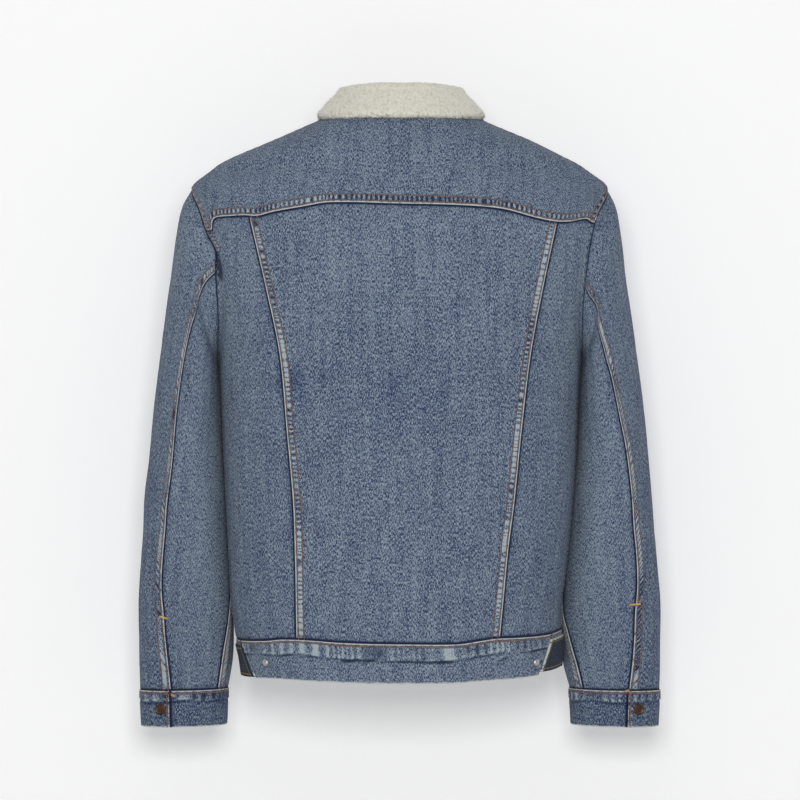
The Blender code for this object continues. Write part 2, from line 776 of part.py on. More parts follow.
def makeTurned(name, profile, spot, facing, material):
    """A small turned piece that stands on the cloth at a spot, facing outwards."""
    steps = 16
    mesh = bpy.data.meshes.new(name)
    edges = [(i, i + 1) for i in range(len(profile) - 1)]
    mesh.from_pydata([(radius * MM, 0, height * MM) for radius, height in profile], edges, [])
    mesh.materials.append(finish(material))
    piece = bpy.data.objects.new(name, mesh)
    bpy.data.collections["sherpa_lined_jacket"].objects.link(piece)
    turned = piece.modifiers.new("turned", "SCREW")
    turned.steps = steps
    turned.render_steps = steps
    turned.use_merge_vertices = True
    turned.merge_threshold = 0.00001
    piece.location = spot * MM
    piece.rotation_mode = "QUATERNION"
    piece.rotation_quaternion = facing.to_track_quat("Z", "Y")
    return piece


def makeButtons():
    for side, word in ((-1, "left"), (1, "right")):
        place = (side, cuffButtonPlace["share"], cuffButtonPlace["hand"])
        facing = cuffNormal(*place)
        makeTurned("cuff_button_" + word, cuffButton, cuffPoint(*place) + facing * restGap, facing, "copper")
        level = waistLevel - studPlace["drop"]
        place = (level, turnAtX(level, side * studPlace["x"]))
        facing = bodyNormal(*place)
        makeTurned("stud_" + word, domeStud, bodyPoint(*place) + facing * restGap, facing, "silver")
    proud = placketWall + 2 * restGap
    for number, level in enumerate(frontButtonLevels, start=1):
        facing = bodyNormal(level, -90.0)
        spot = bodyPoint(level, -90.0) + facing * proud
        makeTurned("front_button_%d" % number, tackButton, spot, facing, "copper")


def makeJacket():
    clearScene()
    home = bpy.data.collections.new("sherpa_lined_jacket")
    bpy.context.scene.collection.children.link(home)
    makeYoke()
    makeBackCentre()
    for side in (-1, 1):
        makeBackSide(side)
        makeFront(side)
        makeSleevePanel(side, True)
        makeSleevePanel(side, False)
        makeCuff(side)
        makeWaistbandFront(side)
        makeSideTab(side)
    makeWaistbandBack()
    makePlacket()
    makeCollar()
    makeButtons()


makeJacket()
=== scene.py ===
# Denim jacket with a pile collar and lining, filled out as if worn: cloth, seams, thread, pile and metal.
import math

import bpy
import numpy as np
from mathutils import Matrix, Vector


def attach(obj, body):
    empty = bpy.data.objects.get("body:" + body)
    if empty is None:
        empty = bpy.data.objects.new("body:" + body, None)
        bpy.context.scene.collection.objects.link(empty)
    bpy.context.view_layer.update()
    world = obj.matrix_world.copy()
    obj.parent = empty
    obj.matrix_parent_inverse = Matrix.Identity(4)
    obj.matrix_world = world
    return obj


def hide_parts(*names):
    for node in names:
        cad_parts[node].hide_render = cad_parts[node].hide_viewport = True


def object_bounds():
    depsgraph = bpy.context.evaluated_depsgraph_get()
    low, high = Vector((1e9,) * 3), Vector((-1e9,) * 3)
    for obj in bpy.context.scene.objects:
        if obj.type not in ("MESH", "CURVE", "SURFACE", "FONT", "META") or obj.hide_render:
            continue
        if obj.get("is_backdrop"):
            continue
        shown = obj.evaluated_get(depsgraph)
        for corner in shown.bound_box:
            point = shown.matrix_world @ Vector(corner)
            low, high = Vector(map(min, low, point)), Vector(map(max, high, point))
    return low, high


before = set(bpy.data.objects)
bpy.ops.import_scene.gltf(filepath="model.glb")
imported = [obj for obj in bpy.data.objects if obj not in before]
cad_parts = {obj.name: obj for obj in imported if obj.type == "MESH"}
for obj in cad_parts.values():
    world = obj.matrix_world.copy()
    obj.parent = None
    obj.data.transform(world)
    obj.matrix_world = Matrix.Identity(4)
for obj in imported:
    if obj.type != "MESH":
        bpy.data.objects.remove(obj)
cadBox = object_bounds()

mm = 0.001    # view, stage and lights are in metres, all else in millimetres, and turns in degrees
dice = np.random.default_rng(11)
sides = ((-1, "left"), (1, "right"))


view = {"eye": (-0.0011, -4.5, -0.3154), "lens": 179.2, "sensor": 36.0, "reach": 50.0}
stage = {
    "wallBehind": 0.19, "wallWidth": 7.0, "wallHeight": 6.0, "floorLevel": -0.98, "floorSize": 9.0,
    "wall": 0.80, "glow": 0.28, "floor": 0.66, "world": 0.34, "sky": (0.96, 0.96, 0.97, 1.0),
}
lights = (
    # name, place, size across and down, power, colour
    ("keyLight", (-0.4, -2.4, 2.1), (1.3, 0.8), 6.0, (1.0, 0.99, 0.97)),
    ("fillLight", (0.0, -3.4, 0.05), (0.75, 0.6), 54.0, (1.0, 1.0, 1.0)),
    ("leftLight", (-2.6, -0.9, 0.1), (1.6, 2.4), 1.5, (1.0, 1.0, 1.0)),
    ("rightLight", (2.6, -0.9, 0.1), (1.6, 2.4), 1.5, (1.0, 1.0, 1.0)),
    ("frontLight", (0.3, 3.2, 0.9), (2.4, 2.0), 30.0, (1.0, 0.99, 0.97)),
)
lightAim = (0.0, 0.0, -0.33)


def addObject(name, data):
    made = bpy.data.objects.new(name, data)
    bpy.context.scene.collection.objects.link(made)
    return made


def makeView():
    camera = addObject("camera", bpy.data.cameras.new("camera"))
    camera.location = view["eye"]
    camera.rotation_euler = (math.radians(90), 0, 0)
    camera.data.sensor_width = view["sensor"]
    camera.data.lens = view["lens"]
    camera.data.clip_end = view["reach"]
    bpy.context.scene.camera = camera


class Value:
    # a socket that takes part in Python sums
    def __init__(self, shade, socket):
        self.shade, self.socket = shade, socket

    def sum(self, operation, first, second):
        return self.shade.node("ShaderNodeMath", {"operation": operation}, {0: first, 1: second})[0]

    def __add__(self, other):
        return self.sum("ADD", self, other)

    def __radd__(self, other):
        return self.sum("ADD", other, self)

    def __sub__(self, other):
        return self.sum("SUBTRACT", self, other)

    def __rsub__(self, other):
        return self.sum("SUBTRACT", other, self)

    def __mul__(self, other):
        return self.sum("MULTIPLY", self, other)

    def __rmul__(self, other):
        return self.sum("MULTIPLY", other, self)


class Shade:
    def __init__(self, name, roughness, metallic=0.0, sheen=0.0):
        self.material = bpy.data.materials.new(name)
        self.material.use_nodes = True
        self.tree = self.material.node_tree
        self.shader = self.tree.nodes["Principled BSDF"]
        self.shader.inputs["Roughness"].default_value = roughness
        self.shader.inputs["Metallic"].default_value = metallic
        if sheen:
            self.shader.inputs["Sheen Weight"].default_value = sheen
            self.shader.inputs["Sheen Roughness"].default_value = 0.6
            self.shader.inputs["Specular IOR Level"].default_value = 0.12

    def node(self, kind, settings=None, sockets=None):
        made = self.tree.nodes.new(kind)
        for key, value in (settings or {}).items():
            if key == "stops":
                ramp = made.color_ramp
                while len(ramp.elements) < len(value):
                    ramp.elements.new(0.5)
                for stop, (place, colour) in zip(ramp.elements, value):
                    stop.position, stop.color = place, (*colour, 1.0)
            else:
                setattr(made, key, value)
        for key, value in (sockets or {}).items():
            if isinstance(value, Value):
                self.tree.links.new(value.socket, made.inputs[key])
            elif isinstance(value, tuple) and len(value) == 3 and len(made.inputs[key].default_value) == 4:
                made.inputs[key].default_value = (*value, 1.0)
            else:
                made.inputs[key].default_value = value
        return [Value(self, socket) for socket in made.outputs]

    def mix(self, share, first, second):
        settings = {"data_type": "RGBA", "blend_type": "MIX", "clamp_factor": True}
        return self.node("ShaderNodeMix", settings, {0: share, 6: first, 7: second})[2]

    def ramp(self, share, stops):
        return self.node("ShaderNodeValToRGB", {"stops": stops}, {0: share})[0]

    def attribute(self, name):
        return self.node("ShaderNodeAttribute", {"attribute_name": name})[2]

    def stretch(self, place, scale, move):
        feeds = {0: place, 1: scale, 2: move}
        return self.node("ShaderNodeVectorMath", {"operation": "MULTIPLY_ADD"}, feeds)[0]

    def cloth(self, across=1.0, along=1.0, shift=0.0):
        # the cloth's own plane in millimetres, stretched for threads that run along it
        flat = self.node("ShaderNodeUVMap", {"uv_map": "cloth"})[0]
        return self.stretch(flat, (across / mm, along / mm, 1.0), (shift, shift * 0.7, shift * 0.3))

    def solid(self, shift=0.0):
        # places in millimetres, whatever the surface
        return self.stretch(self.node("ShaderNodeTexCoord")[3], (1 / mm,) * 3, (shift,) * 3)

    def noise(self, vector, scale=1.0, detail=2.0, roughness=0.5, distortion=0.0):
        sockets = {"Vector": vector, "Scale": scale, "Detail": detail, "Roughness": roughness,
                   "Distortion": distortion}
        return self.node("ShaderNodeTexNoise", None, sockets)[0]

    def step(self, value, low, high, start=0.0, end=1.0):
        # a soft step from start, below low, to end, above high
        settings = {"interpolation_type": "SMOOTHSTEP", "clamp": True}
        sockets = {"Value": value, "From Min": low, "From Max": high, "To Min": start, "To Max": end}
        return self.node("ShaderNodeMapRange", settings, sockets)[0]

    def paint(self, socket, value):
        self.tree.links.new(value.socket, self.shader.inputs[socket])

    def emboss(self, height, strength, distance):
        settings, sockets = None, {"Height": height, "Strength": strength, "Distance": distance}
        self.paint("Normal", self.node("ShaderNodeBump", settings, sockets)[0])


denim = {
    "dark": (0.021, 0.036, 0.098), "middle": (0.099, 0.137, 0.221), "pale": (0.31, 0.38, 0.43),
    "worn": (0.60, 0.62, 0.58), "shade": (0.010, 0.014, 0.036), "rowDark": (0.045, 0.032, 0.030),
    "fadedAndLit": (0.44, 0.505, 0.535), "deepShade": (0.020, 0.026, 0.034),
    "sheen": 0.03, "roughness": 0.9, "light": 0.43, "middleAt": 0.46,
}
# Noises of the weave: across and along to the millimetre, shift, detail, roughness, strength in the colour.
weave = {
    "slub": (1.30, 0.32, 0.0, 3.0, 0.62, 6.9), "fleck": (1.5, 0.62, 31.0, 2.0, 0.6, 4.5),
    "patch": (0.045, 0.03, 7.0, 3.0, 0.55, 0.50), "streak": (0.16, 0.012, 3.0, 2.0, 0.5, 0.75),
    "blotch": (0.22, 0.18, 19.0, 2.0, 0.6, 0.40),
}
# Looks at the seams, worn and painted shade: the two ends of a soft step, and how much of the colour it takes
# over.
seamWearAndShade = {
    "deepShade": (0.40, 0.65, 0.80), "fadedAndLit": (0.20, 0.80, 0.80), "hollow": (0.05, 0.60, 0.86),
    "worn": (0.20, 0.85, 0.85), "rowDark": (0.20, 0.70, 0.82),
    "under": (2.2, 3.8, 0.97), "below": (3.0, 9.0, 0.24),
}
twill = {"Scale": 0.42, "Distortion": 2.5, "Detail": 1.0, "Detail Scale": 2.0}


def makeDenim():
    shade = Shade("denim", denim["roughness"], sheen=denim["sheen"])
    tone, light, noises = shade.attribute("tone"), denim["light"], {}
    for name, (across, along, shift, detail, roughness, strength) in weave.items():
        noises[name] = shade.noise(shade.cloth(across, along, shift), 1.0, detail, roughness) - 0.5
        light = light + noises[name] * strength
    slub, fleck, blotch = noises["slub"], noises["fleck"], noises["blotch"]
    stops = [(0.0, denim["dark"]), (denim["middleAt"], denim["middle"]), (1.0, denim["pale"])]
    # the tone attribute holds the wash and the painted light and shade of the sleeves, cuffs and side tabs
    colour = shade.ramp(light + tone, stops)

    def cover(first, value, kind, paint, rising=True):
        low, high, most = seamWearAndShade[kind]
        share = shade.step(value, low, high, 0.0 if rising else 1.0, 1.0 if rising else 0.0)
        return shade.mix(share * most, first, denim[paint])

    # painted shade: where the tone is lowest, on the side tabs, the colour goes to a near black
    colour = cover(colour, 0 - tone, "deepShade", "deepShade")
    # puckered cloth between two rows of stitches, and pressed creases: pale on top, worn faded and with
    # painted light on crease ridges, and painted shade in the hollows and crease troughs
    puff, rough = shade.attribute("puff"), fleck * 1.4
    colour = cover(colour, puff + rough, "fadedAndLit", "fadedAndLit")
    colour = cover(colour, 0 - puff + rough, "hollow", "shade")
    # folded edges are worn to the white of the weft, with a blue left here and there
    colour = cover(colour, shade.attribute("edge") + slub * 1.6 + blotch * 2.6, "worn", "worn", False)
    # the cloth is darker along each row of stitches, where it dips in a groove
    colour = cover(colour, shade.attribute("row") + fleck * 0.6, "rowDark", "rowDark")
    # the shadow line where one piece dives under another
    under = shade.attribute("under")
    colour = cover(colour, under + blotch * 1.6, "under", "shade", False)
    colour = cover(colour, under, "below", "dark", False)
    shade.paint("Base Color", colour)
    settings = {"wave_type": "BANDS", "bands_direction": "DIAGONAL"}
    ribs = shade.node("ShaderNodeTexWave", settings, dict(twill, Vector=shade.cloth(1.0, 0.8)))[1]
    shade.emboss(slub * 0.7 + fleck * 0.5 + ribs * 0.22, 0.55, 0.0006)
    return shade.material


# Pile colours: painted shade down in its hollows, its middle and its tips.
sherpa = {
    "hollow": (0.40, 0.36, 0.27), "middle": (0.700, 0.672, 0.575), "tip": (0.82, 0.80, 0.72),
    "roughness": 0.95, "sheen": 0.35,
}


def pileStops(middleAt):
    return [(0.0, sherpa["hollow"]), (middleAt, sherpa["middle"]), (1.0, sherpa["tip"])]


def makeSherpa():
    shade = Shade("sherpa", sherpa["roughness"], sheen=sherpa["sheen"])
    place = shade.solid()
    tuft = shade.noise(place, 0.42, 3.0, 0.6, 0.6)
    fine = shade.noise(place, 1.4, 2.0, 0.6)
    # painted shade down in the pile's hollows, by the depth attribute, paler toward the tips
    light = shade.attribute("depth") * 0.75 + (tuft - 0.5) * 0.7 + (fine - 0.5) * 0.5 + 0.25
    shade.paint("Base Color", shade.ramp(light, pileStops(0.45)))
    shade.emboss(tuft * 0.8 + fine * 0.5, 0.6, 0.0009)
    return shade.material


def makeLining():
    # pile that is sewn inside, seen through the neck, the cuffs and the hem
    shade = Shade("lining", sherpa["roughness"], sheen=sherpa["sheen"])
    place = shade.solid(17.0)
    sockets = {"Vector": place, "Scale": 0.27, "Randomness": 1.0}
    cell = shade.node("ShaderNodeTexVoronoi", {"feature": "F1"}, sockets)[0]
    fine = shade.noise(place, 1.1, 3.0, 0.6, 0.5)
    # painted shade between the tufts, paler on their middles
    shade.paint("Base Color", shade.ramp(1.0 - cell * 0.9 + (fine - 0.5) * 0.6, pileStops(0.5)))
    shade.emboss(0 - cell * 1.0 + fine * 0.4, 0.8, 0.0025)
    return shade.material


# Colour of the fresh thread and of the washed one.
threadColours = {
    "rust": ((0.22, 0.085, 0.048), (0.36, 0.24, 0.18)),
    "yellow": ((0.17, 0.125, 0.05), (0.23, 0.19, 0.10)),
    "gold": ((0.60, 0.33, 0.08), (0.66, 0.46, 0.20)),
}


def makeThread(name):
    shade = Shade(name + "Thread", 0.7)
    place = shade.solid()
    wash = shade.noise(place, 0.11, 2.0, 0.6)
    twist = shade.noise(place, 2.6, 2.0, 0.6)
    share = shade.step(wash * 0.6 + twist * 0.4, 0.38, 0.66)
    shade.paint("Base Color", shade.mix(share, *threadColours[name]))
    shade.emboss(twist, 0.5, 0.0003)
    return shade.material


# Bright colour, dull colour, roughness.
metals = {
    "copper": ((0.15, 0.085, 0.055), (0.06, 0.038, 0.03), 0.42),
    "silver": ((0.72, 0.70, 0.66), (0.45, 0.43, 0.40), 0.30),
}


def makeMetal(name):
    bright, dull, roughness = metals[name]
    shade = Shade(name + "Metal", roughness, metallic=1.0)
    place = shade.solid()
    rubbed = shade.noise(place, 0.55, 3.0, 0.6)
    speck = shade.noise(place, 2.4, 2.0, 0.6)
    share = shade.step(rubbed * 0.7 + speck * 0.3, 0.40, 0.62)
    shade.paint("Base Color", shade.mix(share, bright, dull))
    shade.paint("Roughness", rubbed * 0.25 + (roughness - 0.1))
    shade.emboss(speck, 0.25, 0.0002)
    return shade.material


def makeSheet(name, tone, glow):
    # a plain sheet that is seen from its front only
    shade = Shade(name, 0.9)
    shade.shader.inputs["Base Color"].default_value = (tone, tone, tone, 1.0)
    shade.shader.inputs["Specular IOR Level"].default_value = 0.0
    shade.shader.inputs["Emission Color"].default_value = (1.0, 1.0, 1.0, 1.0)
    shade.shader.inputs["Emission Strength"].default_value = glow
    through = shade.node("ShaderNodeBsdfTransparent")[0]
    behind = shade.node("ShaderNodeNewGeometry")[6]
    front = Value(shade, shade.shader.outputs[0])
    mixed = shade.node("ShaderNodeMixShader", None, {0: behind, 1: front, 2: through})[0]
    shade.tree.links.new(mixed.socket, shade.tree.nodes["Material Output"].inputs["Surface"])
    return shade.material


def makeStage():
    wide, high, size = stage["wallWidth"] / 2, stage["wallHeight"], stage["floorSize"] / 2
    back, low = stage["wallBehind"], stage["floorLevel"]
    wall = [(-wide, back, low), (wide, back, low), (wide, back, low + high), (-wide, back, low + high)]
    floor = [(-size, -size, low), (size, -size, low), (size, size, low), (-size, size, low)]
    sheets = ("backdrop", wall, stage["wall"], stage["glow"]), ("floor", floor, stage["floor"], 0.0)
    for name, corners, tone, glow in sheets:
        mesh = bpy.data.meshes.new(name)
        mesh.from_pydata(corners, [], [(0, 1, 2, 3)])
        mesh.materials.append(makeSheet(name, tone, glow))
        addObject(name, mesh)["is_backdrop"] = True
    world = bpy.data.worlds.new("studio")
    world.use_nodes = True
    sky = world.node_tree.nodes["Background"].inputs
    sky["Color"].default_value, sky["Strength"].default_value = stage["sky"], stage["world"]
    bpy.context.scene.world = world
    for name, place, size, power, colour in lights:
        lamp = bpy.data.lights.new(name, "AREA")
        lamp.shape, lamp.size, lamp.size_y = "RECTANGLE", *size
        lamp.energy, lamp.color = power, colour
        holder = addObject(name, lamp)
        holder.location = place
        toward = [aim - at for aim, at in zip(lightAim, place)]
        holder.rotation_mode = "QUATERNION"
        holder.rotation_quaternion = Vector(toward).to_track_quat("-Z", "Y")
    bpy.context.scene.view_settings.view_transform = "Standard"


# Turn 0 is the wearer's right, 90 the back, 180 the left, 270 the front. Level is the height.

torsoColumns = ("level", "left", "right", "back", "front", "round", "lift", "drop")
torsoRows = (
    (-640, 176, 179, 131, 118, 2.5, 0, 0),
    (-627, 177, 179, 132, 119, 2.5, 0, 0),
    (-604, 180, 179, 134, 121, 2.5, 0, 0),
    (-582, 185, 180, 137, 123, 2.5, 0, 0),
    (-540, 191, 181, 140, 126, 2.5, 0, 0),
    (-500, 193, 186, 142, 128, 2.5, 0, 0),
    (-420, 197, 194, 143, 130, 2.5, 0, 0),
    (-340, 201, 198, 143, 131, 2.5, 0, 0),
    (-262, 205, 203, 141, 131, 2.5, 0, 0),
    (-215, 210, 208, 139, 130, 2.6, 0, 2),
    (-180, 217, 215, 136, 128, 2.6, 1, 5),
    (-147, 224, 222, 132, 125, 2.6, 2, 13),
    (-110, 231, 231, 127, 118, 2.5, 4, 27),
    (-76, 235, 232, 118, 109, 2.3, 8, 42),
    (-60, 217, 213, 111, 103, 2.2, 10, 47),
    (-47, 198, 193, 105, 98, 2.2, 12, 51),
    (-24, 145, 146, 93, 88, 2.1, 11, 59),
    (-2, 95, 95, 80, 79, 2.1, 9, 65),
    (7, 78, 78, 70, 73, 2.1, 7, 68),
)
foldColumns = ("face", "fromX", "fromZ", "toX", "toZ", "width", "depth")
bodyFolds = (
    ("back", -196, -165, -178, -330, 20, 3.5),
    ("back", 196, -150, 186, -330, 20, 3.5),
    ("back", -60, -470, -170, -545, 26, 2.5),
    ("back", 70, -430, 160, -520, 26, 2.5),
    ("back", -150, -60, -60, -30, 24, 2.0),
    ("back", 150, -60, 60, -30, 24, 2.0),
    ("front", -190, -190, -110, -300, 24, 3.5),
    ("front", 190, -190, 110, -300, 24, 3.5),
    ("front", -60, -500, -160, -560, 26, 2.5),
    ("front", 60, -500, 160, -560, 26, 2.5),
)
foldFade = 60.0
sleeveColumns = ("outLeft", "outRight", "outZ", "inLeft", "inRight", "inZ", "back", "front", "across")
sleeveRows = (
    (247, 243, -98, 206.5, 204.5, -269, 62, 60, 4),
    (254, 249, -131, 206, 204, -280, 66, 63, 9),
    (260, 254, -173, 204.6, 202.6, -293, 69, 65, 14),
    (267, 261, -218, 203.2, 201.2, -310, 70, 66, 20),
    (273, 267.5, -262, 201.8, 199.8, -332, 70, 66, 25),
    (280, 274.5, -315, 200.3, 198, -362, 68, 65, 29),
    (286, 281, -375, 198.5, 195.5, -400, 64, 62, 32),
    (292, 286, -432, 196.5, 191.5, -443, 60, 58, 33),
    (295, 291, -490, 194, 186.5, -495, 55, 53, 33),
    (298.5, 295, -545, 191.5, 183, -547, 50, 48, 33),
    (298, 295, -600, 190.5, 182, -600, 44, 43, 33),
    (296.5, 294, -645, 197, 192, -643, 39, 38, 33),
)
sleeveRings = len(sleeveRows)
sleeveRound = 2.2
sleeveFoldColumns = ("along", "turn", "spanAlong", "spanTurn", "depth")
sleeveFolds = (
    (1.6, 118, 0.5, 26, 4.0),
    (3.1, 262, 0.5, 40, 3.5),
    (5.0, 250, 0.4, 44, 4.0),
    (6.6, 240, 0.4, 46, 4.5),
    (7.9, 262, 0.4, 40, 3.5),
    (8.4, 60, 0.4, 38, 2.0),
    (10.2, 80, 0.4, 42, 2.5),
    (10.9, 250, 0.4, 46, 2.5),
)
cut = {
    "wall": 4.5, "bandWall": 5.0, "seamGap": 0.4, "restGap": 0.5,
    "neck": 7.0, "shoulder": -76.0, "underarm": -262.0, "waist": -582.0, "hem": -627.0, "frontHem": -622.0,
    "armholeBack": 60.0, "armholeFront": 58.0, "yokeTurn": {-1: 62.0, 1: 56.5}, "yokeLevel": -105.0,
    "longSeamTop": -112.0,
}
holeColumns = ("hand", "left", "right")
holeRows = (
    (0, 60, 60), (20, 63, 67), (35, 68, 73.5), (47, 65.5, 75), (56, 65.3, 73.5), (65, 66.5, 69),
    (77, 73.5, 64.5), (87, 68, 61.5), (100, 63, 59), (125, 60, 57), (180, 60, 58),
)
seamColumns = ("along", "backSeam", "frontSeam")
sleeveSeams = {
    -1: (
        (0, 91, 216), (0.5, 93, 215), (1.1, 97, 213.5), (2.2, 93, 210.5), (3.5, 85.2, 206.5),
        (4.8, 78.8, 203), (6, 75, 199), (7.2, 72, 192), (8.4, 66.2, 182), (9.4, 63.2, 171.5),
        (10.2, 65.5, 157), (11, 70, 142), (12, 76.5, 141),
    ),
    1: (
        (0, 100, 216), (0.5, 104.5, 215), (2.1, 105, 210.5), (3.6, 95.5, 206), (4.9, 86.6, 203),
        (5.9, 79.5, 199), (6.8, 71, 194), (7.6, 66.2, 188), (8.7, 62.1, 181), (9.5, 61.6, 176),
        (10.1, 63.8, 168), (10.6, 65.3, 148), (11.2, 68.2, 136.5), (12, 75, 135),
    ),
}
longSeamColumns = ("level", "left", "right")
longSeams = (
    (-582, -114, 108), (-483, -116, 117), (-427, -118, 124), (-348, -125, 132), (-264, -133, 142),
    (-188, -149, 156), (-112, -167, 172), (-90, -171, 176),
)
yokeEdgeColumns = ("x", "level")
yokeEdge = (
    (-218, -125.5), (-213, -124.5), (-211.8, -118), (-209, -113.4), (-203, -111.5), (-190, -111),
    (-174, -110.6), (-159, -111.5), (-141, -107.3), (-110, -102), (-79, -97), (0, -98.5), (60, -100),
    (110, -104), (150, -114), (172, -117.5), (189, -117), (200, -114.5), (208, -113.6), (212, -116.2),
    (217, -118),
)


def between(start, end, share):
    return start + (end - start) * share


def smoothStep(low, high, value):
    share = np.clip((value - low) / (high - low), 0, 1)
    return share * share * (3 - 2 * share)


def unit(vectors):
    return vectors / np.maximum(np.linalg.norm(vectors, axis=-1, keepdims=True), 1e-9)


def readTable(columns, rows, column, at):
    keys = np.array([row[0] for row in rows], float)
    values = np.array([row[columns.index(column)] for row in rows], float)
    at = np.clip(at, keys[0], keys[-1])
    low = np.clip(np.searchsorted(keys, at, side="right") - 1, 0, len(keys) - 2)
    slope = np.empty(len(keys))
    slope[1:-1] = (values[2:] - values[:-2]) / (keys[2:] - keys[:-2])
    slope[0] = (values[1] - values[0]) / (keys[1] - keys[0])
    slope[-1] = (values[-1] - values[-2]) / (keys[-1] - keys[-2])
    span = keys[low + 1] - keys[low]
    share = (at - keys[low]) / span
    square, cube = share ** 2, share ** 3
    start = (2 * cube - 3 * square + 1) * values[low] + (cube - 2 * square + share) * span * slope[low]
    return start + (3 * square - 2 * cube) * values[low + 1] + (cube - square) * span * slope[low + 1]


def rounded(value, power):
    return np.copysign(np.abs(value) ** (2 / power), value)


def torso(column, level):
    return readTable(torsoColumns, torsoRows, column, level)


def scattered(x, y, z, seed):
    value = np.sin(x * 127.1 + y * 311.7 + z * 74.7 + seed * 53.3) * 43758.5453
    return value - np.floor(value)


def smoothNoise(x, y=0.0, z=0.0, seed=0.0):
    # soft noise from -1 to 1, one hill or hollow to each unit
    spots = np.broadcast_arrays(np.asarray(x, float), y, z)
    cells = [np.floor(spot) for spot in spots]
    parts = [spot - cell for spot, cell in zip(spots, cells)]
    parts = [part * part * (3 - 2 * part) for part in parts]
    total = 0.0
    for i in (0, 1):
        for j in (0, 1):
            for k in (0, 1):
                weight = 1.0
                for part, end in zip(parts, (i, j, k)):
                    weight = weight * (part if end else 1 - part)
                total = total + weight * scattered(cells[0] + i, cells[1] + j, cells[2] + k, seed)
    return total * 2 - 1


def plainBody(level, turn):
    level, turn = np.broadcast_arrays(np.asarray(level, float), np.asarray(turn, float))
    cosine, sine = np.cos(np.radians(turn)), np.sin(np.radians(turn))
    power = torso("round", level)
    half = np.where(cosine > 0, torso("right", level), torso("left", level))
    deep = np.where(sine > 0, torso("back", level), torso("front", level))
    tip = torso("lift", level) * np.maximum(sine, 0) ** 3 - torso("drop", level) * np.maximum(-sine, 0) ** 3
    return np.stack([half * rounded(cosine, power), -deep * rounded(sine, power), level + tip], -1)


def fromLine(x, z, line):
    # distance from a line, and the share of the line where it is nearest
    runX, runZ = line["toX"] - line["fromX"], line["toZ"] - line["fromZ"]
    offX, offZ = x - line["fromX"], z - line["fromZ"]
    nearest = np.clip((offX * runX + offZ * runZ) / (runX ** 2 + runZ ** 2), 0, 1)
    return np.hypot(offX - runX * nearest, offZ - runZ * nearest), nearest


def foldDepth(folds, face, x, z):
    depth = np.zeros(np.shape(x))
    for row in folds:
        fold = dict(zip(foldColumns, row))
        if fold["face"] != face:
            continue
        distance, nearest = fromLine(x, z, fold)
        middling = np.sin(np.pi * between(0.2, 0.8, nearest))
        depth = depth + fold["depth"] * np.exp(-((distance / fold["width"]) ** 2)) * middling
    return depth


def body(level, turn):
    spots = plainBody(level, turn)
    sine = np.sin(np.radians(np.broadcast_to(turn, spots.shape[:-1])))
    fade = np.minimum(np.abs(spots[..., 1]) / foldFade, 1) ** 2
    depths = [foldDepth(bodyFolds, face, spots[..., 0], spots[..., 2]) for face in ("back", "front")]
    spots[..., 1] += np.copysign(np.where(sine > 0, *depths) * fade, sine)
    return spots


def turnAtX(level, x, behind=True):
    half = np.where(np.asarray(x) > 0, torso("right", level), torso("left", level))
    cosine = np.copysign(np.minimum(np.abs(x) / half, 1) ** (torso("round", level) / 2), x)
    turn = np.degrees(np.arccos(cosine))
    return turn if behind else -turn


def armholeTurn(side, hand):
    # level and turn on the body, round the armhole: 0 is its top, 90 the back, 180 the underarm
    middle, reach = (cut["shoulder"] + cut["underarm"]) / 2, (cut["shoulder"] - cut["underarm"]) / 2
    level = middle + reach * np.cos(np.radians(hand))
    sine = np.sin(np.radians(hand))
    behind = readTable(holeColumns, holeRows, "right" if side > 0 else "left", np.mod(hand, 360))
    deep = np.where(sine > 0, behind, cut["armholeFront"]) * np.abs(sine)
    whole = np.where(sine > 0, torso("back", level), torso("front", level))
    turn = np.degrees(np.arcsin(np.minimum((deep / whole) ** (torso("round", level) / 2), 1)))
    turn = turn if side > 0 else 180 - turn
    return level, np.where(sine > 0, turn, -turn)


def sleeveRing(side, ring, hand):
    ring, hand = np.broadcast_arrays(np.asarray(ring), np.asarray(hand, float))
    row = np.array(sleeveRows, float)[np.maximum(ring - 1, 0)]
    pick = {name: row[..., place] for place, name in enumerate(sleeveColumns)}
    outX, inX = (pick["outRight"], pick["inRight"]) if side > 0 else (pick["outLeft"], pick["inLeft"])
    outer = np.stack([side * outX, pick["across"], pick["outZ"]], -1)
    inner = np.stack([side * inX, pick["across"], pick["inZ"]], -1)
    angle = np.radians(hand)
    deep = np.where(np.sin(angle) > 0, pick["back"], pick["front"])
    spots = (outer + inner) / 2 + (outer - inner) / 2 * rounded(np.cos(angle), sleeveRound)[..., None]
    spots[..., 1] -= deep * rounded(np.sin(angle), sleeveRound)
    hole = body(*armholeTurn(side, hand))
    return np.where((ring == 0)[..., None], hole, spots)


def plainSleeve(side, along, hand):
    along, hand = np.broadcast_arrays(np.asarray(along, float), np.asarray(hand, float))
    low = np.minimum(along.astype(int), sleeveRings - 1)
    share = (along - low)[..., None]
    spots = [sleeveRing(side, np.clip(low + i, 0, sleeveRings), hand) for i in (-1, 0, 1, 2)]
    before, start, end, after = spots
    before = np.where((low == 0)[..., None], start * 2 - end, before)
    after = np.where((low + 2 > sleeveRings)[..., None], end * 2 - start, after)
    return 0.5 * (
        2 * start
        + (end - before) * share
        + (2 * before - 5 * start + 4 * end - after) * share ** 2
        + (3 * start - before - 3 * end + after) * share ** 3
    )


def sleeveMiddle(side, along):
    return sum(plainSleeve(side, along, hand) for hand in (0, 90, 180, 270)) / 4


